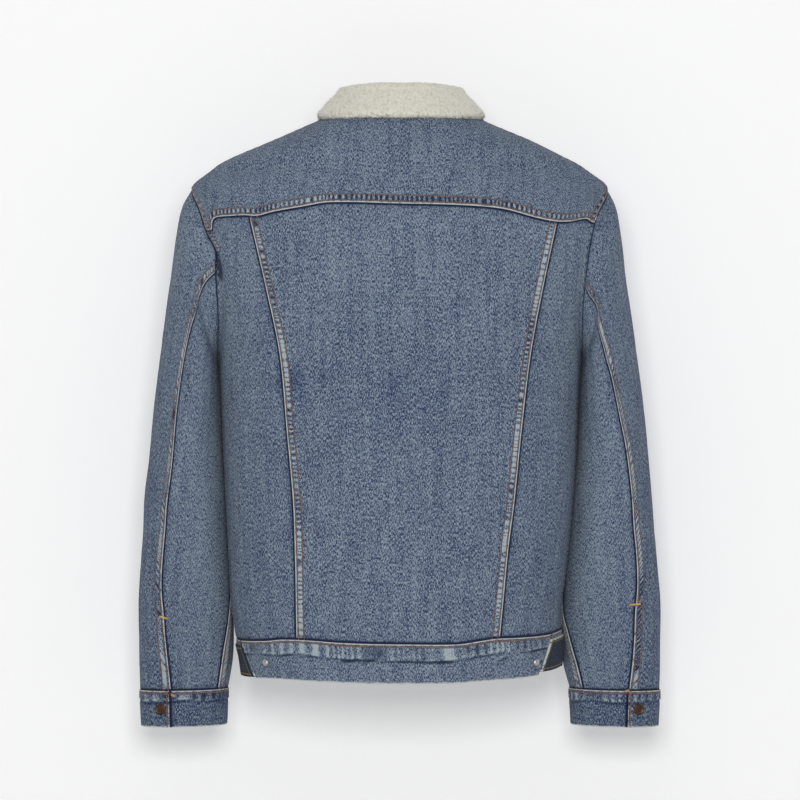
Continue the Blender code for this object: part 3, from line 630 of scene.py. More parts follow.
def sleeve(side, along, hand):
    along, hand = np.broadcast_arrays(np.asarray(along, float), np.asarray(hand, float))
    spots = plainSleeve(side, along, hand)
    depth = np.zeros(along.shape)
    for row in sleeveFolds:
        fold = dict(zip(sleeveFoldColumns, row))
        aside = ((hand - fold["turn"] + 180) % 360 - 180) / fold["spanTurn"]
        beyond = (along - fold["along"]) / fold["spanAlong"]
        depth = depth + fold["depth"] * np.exp(-(beyond ** 2) - aside ** 2)
    inwards = unit(sleeveMiddle(side, along) - spots)
    return spots + inwards * (depth * np.minimum(along, 1))[..., None]


# A panel is a grid over a surface(u, v): close lines at its seams, even ones between.
borders = ("left", "right", "top", "bottom")
lineOffsets = {
    "over": (0, 0.5, 1.1, 1.7, 2.1, 2.6, 3.4, 4.6, 5.8, 7.0, 8.0, 8.6, 9.1, 9.7, 10.6, 12.0, 14.0),
    "under": (0, 0.8, 1.8, 3.0, 5.0, 8.0),
    "fold": (0, 0.8, 1.8, 3.0, 5.0, 8.0),
    "plain": (0.0,),
}
# How an edge rolls over: millimetres beyond the seam, and share of the way down.
lipSteps = {
    "over": ((0.25, 0.08), (0.48, 0.42), (0.30, 0.80), (-0.45, 1.0)),
    "fold": ((0.50, 0.06), (0.90, 0.22), (1.05, 0.50), (0.90, 0.78), (0.50, 0.94)),
}
felled = {"kind": "over", "lift": 1.25, "width": 9.6, "rows": (2.0, 8.7), "wave": 5.6, "puff": 0.34}
rolled = {"kind": "over", "lift": 0.9, "width": 6.0, "rows": (), "wave": 9.0, "puff": 0.06, "fresh": 3.0}
tucked = {"kind": "under", "wave": 6.5, "puff": 0.20}
plain = {"kind": "plain"}
folded = {"kind": "fold", "rows": ()}
felledPale = dict(felled, bias=0.44, show=0.78, slow=0.55, unrest=1.0, fresh=-0.4)
bandTop = {
    "kind": "over", "lift": 1.5, "width": 200, "puffed": 17.0, "rows": (2.4,), "groove": 1.05, "wave": 11.5,
    "puff": 0.42, "bias": 0.08, "show": 0.42, "unrest": 2.6, "crease": 0.9,
}
cuffTop = dict(bandTop, puffed=12.0, wave=9.5, crease=0.9)
bandEnd = {"kind": "over", "lift": 1.5, "width": 200, "puffed": 6, "rows": (), "wave": 7.0, "puff": 0.12}
stitch = {
    "length": 1.75, "gap": 0.50, "width": {"torso": 1.0, "sleeves": 1.0, "bands": 1.35}, "height": 0.42,
    "stray": 0.12, "lean": 0.09, "reach": 0.6, "lift": 0.05,
}
farAway = 60.0


def arcs(points, axis):
    steps = np.linalg.norm(np.diff(points, axis=axis), axis=-1)
    start = np.zeros_like(np.take(steps, [0], axis=axis))
    return np.concatenate([start, np.cumsum(steps, axis=axis)], axis=axis)


def spread(total, first, last, count):
    first, last = np.array(first, float), np.array(last, float)
    scale = np.minimum(1.0, 0.8 * total / max(first[-1] + last[-1], 1e-6))[:, None]
    start, end = first * scale, total[:, None] - last[::-1] * scale
    inner = between(start[:, -1:], end[:, :1], np.linspace(0, 1, count + 2)[1:-1])
    return np.concatenate([start, inner, end], axis=1)


def offsets(edges):
    kinds = [edge["kind"] for edge in edges]
    return lineOffsets["over" if "over" in kinds else kinds[0]]


def layGrid(surface, edges, pitch):
    across = offsets(edges["left"]), offsets(edges["right"])
    down = offsets(edges["top"]), offsets(edges["bottom"])
    fine = np.linspace(0, 1, 241)
    middle = arcs(surface(fine, np.full_like(fine, 0.5)), 0)
    columns = max(int((middle[-1] - across[0][-1] - across[1][-1]) / pitch[0]), 2)
    nominal = np.interp(spread(middle[-1:], *across, columns)[0], middle, fine)
    run = arcs(surface(nominal[None, :] + 0 * fine[:, None], fine[:, None] + 0 * nominal[None, :]), 0)
    rows = max(int((run[-1].max() - down[0][-1] - down[1][-1]) / pitch[1]), 2)
    goal = spread(run[-1], *down, rows)
    v = np.stack([np.interp(goal[c], run[:, c], fine) for c in range(len(nominal))], axis=1)
    dense = np.stack([np.interp(fine, nominal, row) for row in v])
    lengths = arcs(surface(fine[None, :] + 0 * dense, dense), 1)
    goal = spread(lengths[:, -1], *across, columns)
    u = np.stack([np.interp(goal[r], lengths[r], fine) for r in range(len(v))])
    v = np.stack([np.interp(u[r], fine, dense[r]) for r in range(len(v))])
    return u, v


def gridNormals(points, facing):
    step = [np.concatenate([np.take(points, [1], a) - np.take(points, [0], a),
                            np.take(points, range(2, points.shape[a]), a)
                            - np.take(points, range(points.shape[a] - 2), a),
                            np.take(points, [-1], a) - np.take(points, [-2], a)], axis=a) for a in (0, 1)]
    return unit(np.cross(step[1], step[0])) * facing


def steady(normals, toward):
    # a normal that points into the body, where lines crowd, is turned round
    return normals * np.where(np.sum(normals * unit(toward), -1, keepdims=True) < -0.3, -1.0, 1.0)


def facingOf(points, outward):
    # 1 where u then v turn right-handed about the outward side, else -1
    return 1.0 if np.sum(gridNormals(points, 1.0) * outward) > 0 else -1.0


def ripple(run, wave, seed, unrest=0.6):
    phase = run / wave + unrest * smoothNoise(run / (wave * 3.1), seed=seed)
    size = 0.85 + 0.30 * smoothNoise(run / (wave * 2.3), seed=seed + 5)
    return np.sin(2 * np.pi * phase) * size


class Cloth:
    # one laid panel: its points, distances from its edges and what the cloth looks like there
    def __init__(self, name, surface, edges, pitch, outward, rise=0.0, wall=cut["wall"],
                 relief=None, hole=None, even=False, tone=0.0):
        self.name, self.wall, self.hole = name, wall, hole or {}
        self.edges = {border: edge if isinstance(edge, tuple) else (edge,) for border, edge in edges.items()}
        self.seed = float(sum(map(ord, name)) % 97)
        self.u, self.v = layGrid(surface, self.edges, pitch)
        base = surface(self.u, self.v)
        self.facing = facingOf(base, outward(base))
        normals = gridNormals(base, self.facing)
        if outward is outOfBody:
            normals = steady(normals, outward(base))
        base = base + normals * rise
        self.base, self.normals = base, normals
        along = {"left": arcs(base, 1), "top": arcs(base, 0)}
        along["right"] = along["left"][:, -1:] - along["left"]
        along["bottom"] = along["top"][-1:] - along["top"]
        self.away = along
        middle = base.shape[1] // 2
        self.across = along["left"] - along["left"][:, middle:middle + 1]
        self.down = along["top"]
        self.grain = np.stack([self.across, -self.down], -1)
        if even:
            wide = along["left"][:, -1:]
            level = self.across.mean(0, keepdims=True) * (wide / wide.mean()) ** 0.5
            self.grain = np.stack([level, -self.down.mean(1, keepdims=True) + 0 * level], -1)
        self.dress(relief, tone)

    def weight(self, edge, border):
        # how far a border has its finish, along its length
        share = self.v if border in ("left", "right") else self.u
        return edge["where"](share) if "where" in edge else np.ones(share.shape)

    def dress(self, relief, tone):
        shape = self.base.shape[:2]
        height, fade = np.zeros(shape), np.ones(shape)
        far = farAway
        self.edge, self.under = np.full(shape, far), np.full(shape, far)
        self.row, self.puff = np.zeros(shape), np.zeros(shape)
        waves = np.zeros(shape)
        finishes = [(place, border, edge)
                    for place, border in enumerate(borders) for edge in self.edges[border]]
        for place, border, edge in finishes:
            e, w = self.away[border], self.weight(edge, border)
            run = self.down if border in ("left", "right") else self.across
            for row in edge.get("rows", ()):
                close = np.exp(-(((e - row) / edge.get("groove", 0.75)) ** 2)) * w
                waves -= 0.42 * close
                self.row = np.maximum(self.row, close)
            if edge["kind"] == "over":
                wide = edge["width"]
                band = edge["lift"] * (1 - 0.22 * np.exp(-((e / 0.7) ** 2)))
                band = band * (1 - smoothStep(wide - 0.4, wide + 2.0, e)) * w
                height = np.maximum(height, band)
                wave = ripple(run, edge["wave"], self.seed + place * 3, edge.get("unrest", 0.6))
                puffed = edge.get("puffed", wide)
                slow = edge.get("slow", 0.35) * smoothNoise(run / 30, seed=self.seed + place + 9)
                if "crease" in edge:
                    # the band is creased along the seam allowance inside it
                    puffed = puffed + 2.0 * smoothNoise(run / 26, seed=self.seed + place)
                    strength = 0.75 + 0.45 * smoothNoise(run / 15, seed=self.seed + place + 4)
                    trough = np.exp(-(((e - puffed - 0.6) / 1.4) ** 2)) * w * strength
                    ridge = np.exp(-(((e - puffed + 2.4) / 1.5) ** 2)) * w * strength
                    waves += edge["crease"] * (0.5 * ridge - trough)
                    # painted light along the crease's ridge and painted shade in its trough
                    self.puff += 0.35 * ridge - 0.6 * trough
                inside = smoothStep(1.6, 3.2, e) * (1 - smoothStep(puffed - 2.4, puffed - 0.8, e)) * w
                fading = np.exp(-np.maximum(e - puffed, 0) / 5)
                outside = smoothStep(puffed - 0.6, puffed + 1.0, e) * fading * w
                waves += edge["puff"] * wave * (inside + 0.45 * outside)
                self.puff += (wave * edge.get("show", 1.0) + edge.get("bias", 0.0) + slow) * inside
                self.edge = np.minimum(self.edge, np.where(w > 0.5, e + edge.get("fresh", 0.0), far))
            elif edge["kind"] == "under":
                fade *= 1 - w * (1 - smoothStep(0.3, 2.8, e))
                wave = ripple(run, edge["wave"], self.seed + place * 3 + 1)
                waves += w * edge["puff"] * wave * smoothStep(0.5, 3.0, e) * np.exp(-e / 6)
                waves -= w * 0.25 * np.exp(-e / 1.6)
                self.puff += 0.30 * wave * w * smoothStep(1.5, 3.5, e) * np.exp(-e / 5)
                self.under = np.minimum(self.under, np.where(w > 0.5, e, far))
            elif edge["kind"] == "fold":
                self.edge = np.minimum(self.edge, np.where(w > 0.5, e + edge.get("fresh", 0.0), far))
        soft = 0.35 * smoothNoise(self.across / 31, self.down / 38, seed=self.seed)
        soft += 0.14 * smoothNoise(self.across / 9, self.down / 13, seed=self.seed + 2)
        height = (height + waves) * fade + soft * np.minimum(fade, smoothStep(0, 14, self.edge + 3))
        if relief is not None:
            # the relief's painted light and shade of creases go into the puckers' tone
            shape, creaseLightAndShade = relief(self)
            height = height + shape
            self.puff += creaseLightAndShade
        self.height = height
        self.outer = self.base + self.normals * height[..., None]
        self.tone = tone + toneOf(self.base, sleeveLightAndShade if self.name.startswith("sleeve") else washPatches)

    def line(self, edge, border, offset):
        # the finished cloth's points and normals at a distance from one border
        away, spots = orient(self.away[border], border), orient(self.outer, border)
        facing, keep = orient(self.normals, border), orient(self.weight(edge, border), border)[:, 0] > 0.5
        both = np.concatenate([spots, facing], -1)
        lines = [[np.interp(offset, e, line[:, i]) for i in range(6)] for e, line in zip(away, both)]
        lines = np.array(lines)[keep]
        return lines[:, :3], unit(lines[:, 3:])

    def rows(self):
        # every row of stitches, as points, normals and its kind of thread
        for border in borders:
            for edge in self.edges[border]:
                for row in edge.get("rows", ()):
                    yield (*self.line(edge, border, row), edge.get("thread", "rust"))

    def flatSize(self):
        # width, length and area of the piece, laid flat
        cells = np.linalg.norm(np.cross(self.base[1:, :-1] - self.base[:-1, :-1],
                                        self.base[:-1, 1:] - self.base[:-1, :-1]), axis=-1)
        return self.away["left"][:, -1].max() * mm, self.away["top"][-1].max() * mm, cells.sum() * mm * mm

    def build(self, materials, lined=True):
        kinds, weights = {}, np.zeros(self.height.shape + (4,))
        for place, border in enumerate(borders):
            for edge in self.edges[border]:
                if edge["kind"] in lipSteps:
                    kinds[border] = edge["kind"]
                    weights[..., place] += self.weight(edge, border)
        looks = [self.height, self.edge, self.under, self.row, self.puff, self.tone]
        skin = np.concatenate([self.outer, self.normals, np.stack(looks, -1), self.grain, weights], -1)
        lead = dict.fromkeys(borders, 0)
        for border, kind in kinds.items():
            skin = addLip(skin, border, kind, self.wall)
            lead[border] = len(lipSteps[kind])
        stops = everyFourth(len(self.base)), everyFourth(self.base.shape[1])
        few = np.ix_(*stops)
        wall = np.full(self.height.shape, self.wall)
        for border in self.hole:
            # pressed thin along the armhole
            wall = wall * between(0.4, 1.0, smoothStep(2, 18, self.away[border]))
        inner = (self.base - self.normals * wall[..., None])[few]
        for border, handsAt in self.hole.items():
            share = orient((self.v if border in ("left", "right") else self.u)[few], border)[:, 0]
            hands, cutHere = handsAt(share)
            edge = orient(self.base[few], border)[cutHere, 0]
            inward = armholeInward(1 if edge[:, 0].mean() > 0 else -1, hands[cutHere])
            orient(inner, border)[cutHere, 0] = edge + inward * self.wall * 0.5
        points = np.concatenate([skin[..., :3].reshape(-1, 3), inner.reshape(-1, 3)])
        rows, columns = skin.shape[:2]
        stops = [part + lead[border] for part, border in zip(stops, ("top", "left"))]
        faces, slots = shellFaces(rows, columns, *stops)
        if self.facing < 0:
            faces = [face[::-1] for face in faces]
        values = {}
        for place, key, rest in ((7, "edge", farAway), (8, "under", farAway), (9, "row", 0), (10, "puff", 0),
                                 (11, "tone", 0)):
            values[key] = np.concatenate([skin[..., place].ravel(), np.full(inner.size // 3, rest)])
        flat = np.concatenate([skin[..., 12:14].reshape(-1, 2), self.grain[few].reshape(-1, 2)]) * mm
        faced = slots if lined else np.zeros(len(slots), np.int32)
        return makeMesh(self.name, points, faces, materials, faced, values, flat)


def orient(grid, border):
    # a view of the grid whose second axis starts at the border
    if border in ("top", "bottom"):
        grid = grid.swapaxes(0, 1)
    return grid[:, ::-1] if border in ("right", "bottom") else grid


def restore(grid, border):
    if border in ("right", "bottom"):
        grid = grid[:, ::-1]
    return grid.swapaxes(0, 1) if border in ("top", "bottom") else grid


def everyFourth(count):
    # every fourth of a row of points, and its last
    return np.array(list(range(0, count - 2, 4)) + [count - 1])


def armholeInward(side, hand):
    # direction of the cut edge at the armhole, half way between into the body and into the sleeve
    angle, reach = np.radians(hand), (cut["shoulder"] - cut["underarm"]) / 2
    deep = np.where(np.sin(angle) > 0, cut["armholeBack"], cut["armholeFront"])
    toArm = unit(np.stack([0 * angle, np.sin(angle) / deep, -np.cos(angle) / reach], -1))
    level, turn = armholeTurn(side, hand)
    upward = body(level + 1, turn) - body(level - 1, turn)
    outward = unit(np.cross(upward, body(level, turn + 1) - body(level, turn - 1)))
    outward = outward * np.sign(np.sum(outward * body(level, turn) * (1, 1, 0), -1))[:, None]
    return unit(toArm - outward * 0.8)


def addLip(skin, border, kind, wall):
    # lines that roll over and down at the edge of a piece that lies on another or is folded
    flat = orient(skin, border)
    edge = flat[:, 0]
    toward, weight = unit(edge[:, :3] - flat[:, 1, :3]), edge[:, 14 + borders.index(border)]
    deep = edge[:, 6] + (wall if kind == "fold" else 0)
    lines = []
    for place, (beyond, share) in enumerate(lipSteps[kind]):
        line = edge.copy()
        drop = between(0.3 * (place + 1), share * deep, weight)
        line[:, :3] += toward * (beyond * weight)[:, None] - edge[:, 3:6] * drop[:, None]
        # the lower lines of the roll take the painted shadow of an under edge, and no worn edge
        if kind == "over" and place > 1:
            line[:, 7], line[:, 8] = farAway, 0
        lines.append(line)
    return restore(np.concatenate([np.stack(lines[::-1], 1), flat], axis=1), border)


def shellFaces(rows, columns, rowStops, columnStops):
    # outer faces, inner faces between the stops, and the rims that join them
    index = np.arange(rows * columns).reshape(rows, columns)
    inside = rows * columns + np.arange(len(rowStops) * len(columnStops)).reshape(len(rowStops), -1)
    outer = np.stack([index[:-1, :-1], index[:-1, 1:], index[1:, 1:], index[1:, :-1]], -1).reshape(-1, 4)
    inner = np.stack([inside[:-1, :-1], inside[1:, :-1], inside[1:, 1:], inside[:-1, 1:]], -1).reshape(-1, 4)
    down, across = [list(stops) for stops in (rowStops, columnStops)]
    down[0], down[-1], across[0], across[-1] = 0, rows - 1, 0, columns - 1
    rims = []
    for k, (a, b) in enumerate(zip(across, across[1:])):
        rims.append(index[0, a:b + 1][::-1].tolist() + [inside[0, k], inside[0, k + 1]])
        rims.append(index[-1, a:b + 1].tolist() + [inside[-1, k + 1], inside[-1, k]])
    for k, (a, b) in enumerate(zip(down, down[1:])):
        rims.append(index[a:b + 1, 0].tolist() + [inside[k + 1, 0], inside[k, 0]])
        rims.append(index[a:b + 1, -1][::-1].tolist() + [inside[k, -1], inside[k + 1, -1]])
    faces = outer.tolist() + inner.tolist() + rims
    slots = np.zeros(len(faces), np.int32)
    slots[len(outer):len(outer) + len(inner)] = 1
    return faces, slots


def makeMesh(name, points, faces, materials, slots=None, values=None, flat=None, sharp=50.0):
    mesh = bpy.data.meshes.new(name)
    mesh.from_pydata((points * mm).tolist(), [], faces)
    for material in materials:
        mesh.materials.append(material)
    if slots is not None:
        mesh.polygons.foreach_set("material_index", slots)
    for key, value in (values or {}).items():
        made = mesh.attributes.new(key, "FLOAT", "POINT")
        made.data.foreach_set("value", np.ascontiguousarray(value, np.float32))
    if flat is not None:
        corners = np.empty(len(mesh.loops), np.int32)
        mesh.loops.foreach_get("vertex_index", corners)
        mesh.uv_layers.new(name="cloth").uv.foreach_set("vector", flat[corners].astype(np.float32).ravel())
    mesh.shade_smooth()
    mesh.set_sharp_from_angle(angle=math.radians(sharp))
    piece = addObject(name, mesh)
    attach(piece, "root")
    return piece


toneColumns = ("x", "z", "y", "wide", "high", "change")
washPatches = (
    # pale where the back rubs, dark down the sides and under the arms
    (0, -60, -90, 170, 70, 0.05),
    (-10, -170, -130, 120, 90, 0.06),
    (0, -295, -140, 90, 60, -0.12),
    (20, -400, -140, 90, 80, -0.02),
    (-40, -520, -140, 90, 60, 0.03),
    (-165, -470, -110, 42, 130, -0.04),
    (165, -480, -110, 42, 130, -0.03),
    (-190, -210, -80, 30, 90, 0.13),
    (190, -210, -80, 30, 90, 0.17),
    (-120, -290, -130, 9, 13, -0.34),
    (-112, -298, -130, 8, 18, -0.26),
    (-118, -436, -130, 8, 12, -0.26),
)
# On the sleeves: painted light along their inner sides, where they turn in toward the body, and painted shade
# down their outer edges.
sleeveLightAndShade = (
    (-225, -430, -20, 34, 130, 0.16),
    (225, -430, -20, 34, 130, 0.14),
    (-205, -400, 10, 24, 260, 0.18),
    (205, -400, 10, 24, 260, 0.16),
    (-225, -120, -30, 34, 70, 0.16),
    (-296, -430, 30, 26, 260, -0.14),
    (292, -430, 30, 26, 260, -0.14),
)


def toneOf(points, patches):
    tone = np.zeros(points.shape[:-1])
    for row in patches:
        patch = dict(zip(toneColumns, row))
        off = ((points[..., 0] - patch["x"]) / patch["wide"]) ** 2
        off = off + ((points[..., 2] - patch["z"]) / patch["high"]) ** 2
        off = off + ((points[..., 1] - patch["y"]) / 90.0) ** 2
        tone = tone + patch["change"] * np.exp(-off)
    return tone


# How far the waistband's seam and its lower edge lie above their even levels, round the body.
waistColumns = ("turn", "seam", "hem")
waistRows = (
    (-70, 0, 0), (-20, 5, 5), (10, 8, 8), (27, 5.7, 8), (40, 4.6, 6.5), (53, 4.1, 4.5), (60, 3.8, 4),
    (67, 1.4, 3), (75, -1.6, 1.5), (90, -1.4, 1), (106, 0, 2), (118, 2.2, 3), (130, 2.4, 4), (140, 0, 4),
    (162, -2, 2.5), (185, -2, 2), (240, 0, 0),
)
backBandEnds = {-1: (-178.0, -160.0), 1: (166.0, 151.5)}
chains = {"front": (0.24, 0.55), "back": 0.35, "yoke": 0.71}
# Creases placed one by one: a trough has a depth, a ridge a depth below nothing.
creaseColumns = ("fromX", "fromZ", "toX", "toZ", "width", "depth")
backCreases = (
    (-205, -150, -200, -182, 3.0, 1.6),
)
bandCreases = (
    (-152, -598, -148, -589, 1.2, -0.7), (-97, -595, -93, -587, 1.3, -0.7), (-69, -601, -63, -592, 1.3, -0.9),
    (-66, -603, -48, -601, 1.8, 0.9), (-49, -596, -56, -600, 1.2, -0.7), (-42, -605, -25, -598, 1.8, 0.8),
    (-25, -598, -21, -590, 1.7, 0.8), (-38, -607, -27, -603, 1.3, -0.6), (-26, -600, -20, -589, 1.2, -0.6),
    (-3, -603, 14, -601, 1.7, 0.9), (8, -597, 31, -597, 1.3, -0.8), (15, -600, 33, -599, 1.6, 0.9),
    (24, -609, 34, -608, 1.2, -0.6), (38, -599, 48, -593, 1.2, -0.8), (35, -602, 56, -603, 1.8, 0.9),
    (59, -598, 76, -594, 1.5, -0.8), (74, -598, 82, -593, 1.2, -0.7), (92, -593, 114, -589, 1.5, -0.7),
    (103, -602, 116, -595, 1.4, -0.9), (116, -595, 121, -585, 1.4, -0.8), (104, -604, 118, -598, 1.6, 0.8),
    (129, -596, 131, -592, 1.2, -0.6), (140, -593, 143, -589, 1.2, -0.6),
)
sleeveCreases = (
    (-263, -567, -256, -578, 2.2, 1.4), (-264, -588, -255, -599, 2.0, 1.6),
    (-259, -608, -252, -619, 2.2, 1.5), (-257, -625, -247, -641, 2.4, 1.7),
    (262, -553, 258, -563, 2.2, 1.2), (259, -590, 254, -604, 2.0, 0.9), (258, -612, 251, -622, 2.0, 1.0),
)


def pressed(rows, paint=0.55):
    # relief of a table of creases on the side that faces back, and its painted shade in the troughs and
    # painted light on the ridges
    def relief(cloth):
        x, z = cloth.base[..., 0], cloth.base[..., 2]
        depth = np.zeros(x.shape)
        for row in rows:
            crease = dict(zip(creaseColumns, row))
            distance, nearest = fromLine(x, z, crease)
            middling = np.sin(np.pi * between(0.15, 0.85, nearest))
            depth = depth + crease["depth"] * np.exp(-((distance / crease["width"]) ** 2)) * middling
        depth = depth * smoothStep(0.1, 0.5, -cloth.normals[..., 1])
        return -depth, -depth * paint

    return relief


def longSeamX(side, level):
    return readTable(longSeamColumns, longSeams, "right" if side > 0 else "left", level)


def yokeLevel(turn):
    x = plainBody(cut["yokeLevel"], turn)[..., 0]
    level = readTable(yokeEdgeColumns, yokeEdge, "level", x)
    return level - torso("lift", level) * np.sin(np.radians(turn)) ** 3


def yokeSeam(share):
    # level and turn along the yoke's lower edge, from the right armhole to the left one
    share = np.asarray(share, float)
    right, left = armholeTurn(1, cut["yokeTurn"][1]), armholeTurn(-1, cut["yokeTurn"][-1])
    turn = between(right[1], left[1], share)
    level = yokeLevel(turn) + (right[0] - yokeLevel(right[1])) * np.exp(-share / 0.015)
    level = level + (left[0] - yokeLevel(left[1])) * np.exp((share - 1) / 0.006)
    return level, turn


def shareAtX(x):
    shares = np.linspace(0, 1, 2001)
    return float(np.interp(-x, -plainBody(*yokeSeam(shares))[:, 0], shares))


seamShares = {side: shareAtX(longSeamX(side, cut["longSeamTop"])) for side in (-1, 1)}


def longSeam(side, share):
    # level and turn along one of the long back seams, from the yoke down to the waistband
    top = yokeSeam(seamShares[side])
    level = between(top[0], cut["waist"], share)
    shift = top[1] - turnAtX(top[0], longSeamX(side, top[0]))
    return level, turnAtX(level, longSeamX(side, level)) + shift * (1 - share) ** 3


def waistShift(column, turn):
    return readTable(waistColumns, waistRows, column, np.where(turn < -70, turn + 360, turn))


def waisted(level, turn):
    # panels that end at the waistband follow its seam
    near = smoothStep(cut["waist"] + 120, cut["waist"], level)
    return body(level + waistShift("seam", turn) * near, turn)


def yokeSurface(u, v):
    first = chains["yoke"]
    edges = {}
    for side, flat in ((1, 0.0), (-1, 180.0)):
        hand = np.clip((v - first) / (1 - first), 0.001, 1) * cut["yokeTurn"][side]
        hole = armholeTurn(side, hand)
        level = between(cut["neck"], cut["shoulder"], v / first)
        edges[side] = np.where(v > first, hole[0], level), np.where(v > first, hole[1], flat)
    ends = {side: armholeTurn(side, cut["yokeTurn"][side])[0] for side in (-1, 1)}
    down = [(cut["neck"] - edges[side][0]) / (cut["neck"] - ends[side]) for side in (1, -1)]
    level = between(cut["neck"], yokeSeam(u)[0], between(*down, u))
    return body(level, between(edges[1][1], edges[-1][1], u))


def centreSurface(u, v):
    right, left = longSeam(1, v), longSeam(-1, v)
    top = yokeSeam(between(seamShares[1], seamShares[-1], u))[0]
    return waisted(between(top, cut["waist"], v), between(right[1], left[1], u))


def sideSurface(side):
    outside, flat, first = (0.0, 0.0, chains["back"]) if side > 0 else (1.0, 180.0, chains["back"])
    start = armholeTurn(side, cut["yokeTurn"][side])[0]

    def surface(u, v):
        hole = armholeTurn(side, between(cut["yokeTurn"][side], 179.99, np.minimum(v / first, 1)))
        level = between(cut["underarm"], cut["waist"], (v - first) / (1 - first))
        level, turn = np.where(v < first, hole[0], level), np.where(v < first, hole[1], flat)
        share = np.clip((level - start) / (cut["waist"] - start), 0, 1)
        top = yokeSeam(between(outside, seamShares[side], u))[0]
        return waisted(between(top, cut["waist"], share), between(turn, longSeam(side, share)[1], u))
    return surface


def frontSurface(side):
    flat, (first, second) = (0.0 if side > 0 else -180.0), chains["front"]

    def surface(u, v):
        hole = armholeTurn(side, np.clip(between(360, 180, (v - first) / (second - first)), 180.01, 359.99))
        shoulder = between(cut["neck"], cut["shoulder"], v / first)
        below = between(cut["underarm"], cut["waist"], (v - second) / (1 - second))
        inHole = (v > first) & (v < second)
        level = np.where(inHole, hole[0], np.where(v <= first, shoulder, below))
        return waisted(level, between(np.where(inHole, hole[1], flat), -90.0, u))
    return surface


def sleeveSurface(side, upper):
    def surface(u, v):
        along = v * sleeveRings
        seams = sleeveSeams[side]
        back, front = (readTable(seamColumns, seams, column, along) for column in ("backSeam", "frontSeam"))
        start, end = (front - 360, back) if upper else (back, front)
        return sleeve(side, along, between(start, end, u))
    return surface


def bandLevels(v, turn, hem):
    seam = cut["waist"] - cut["seamGap"] / 2
    return between(seam + waistShift("seam", turn), hem + waistShift("hem", turn), v)


def backBandSurface(u, v):
    level = between(cut["waist"], cut["hem"], v)
    ends = [turnAtX(level, between(*backBandEnds[side], v)) for side in (1, -1)]
    turn = between(*ends, u)
    return body(bandLevels(v, turn, cut["hem"]), turn)


def frontBandSurface(side):
    def surface(u, v):
        level = between(cut["waist"], cut["frontHem"], v)
        start = turnAtX(level, between(*backBandEnds[side], v))
        turn = between(start, -90.0 if side > 0 else 270.0, u)
        return body(bandLevels(v, turn, cut["frontHem"]), turn)
    return surface


sideTab = {"drop": 6.0, "start": 1.0, "turn": 14.0, "height": 33.0, "wall": 3.0}
placket = {"halfWidth": 19.0, "top": -18.0, "wall": 3.0}


def tabSurface(side):
    def surface(u, v):
        level = cut["waist"] - sideTab["drop"] - sideTab["height"] * v
        share = (level - cut["waist"]) / (cut["hem"] - cut["waist"])
        start = turnAtX(level, between(*backBandEnds[side], share) + side * sideTab["start"])
        turn = between(start, -sideTab["turn"] if side > 0 else 180 + sideTab["turn"], u)
        return body(level + waistShift("seam", turn), turn)
    return surface


def placketSurface(u, v):
    level = between(placket["top"], cut["frontHem"], v)
    ends = [turnAtX(level, x, False) for x in (placket["halfWidth"], -placket["halfWidth"])]
    return body(level, between(*ends, u))


cuff = {"height": 40.0, "taper": 2.25, "overlapTurn": {-1: 74.0, 1: 76.0}, "overlap": 1.1, "overlapRun": 26.0}


def cuffPoint(side, share, hand):
    share = np.asarray(share, float)[..., None]
    top, middle = sleeve(side, float(sleeveRings), hand), sleeveMiddle(side, float(sleeveRings))
    return top + unit(middle - top) * cuff["taper"] * share - np.array([0, 0, cuff["height"]]) * share


def cuffSurface(side):
    def surface(u, v):
        start = cuff["overlapTurn"][side]
        return cuffPoint(side, v, start - 359.5 * u)
    return surface


def outOfBody(points):
    return points * (1, 1, 0) + (0, 0, 20)


def outOfSleeve(side):
    return lambda points: (points - (side * 248, 25, 0)) * (1, 1, 0)


def within(low, high):
    def inside(share):
        past = smoothStep(high - 0.003, high + 0.003, share)
        return smoothStep(low - 0.003, low + 0.003, share) * (1 - past)

    return inside


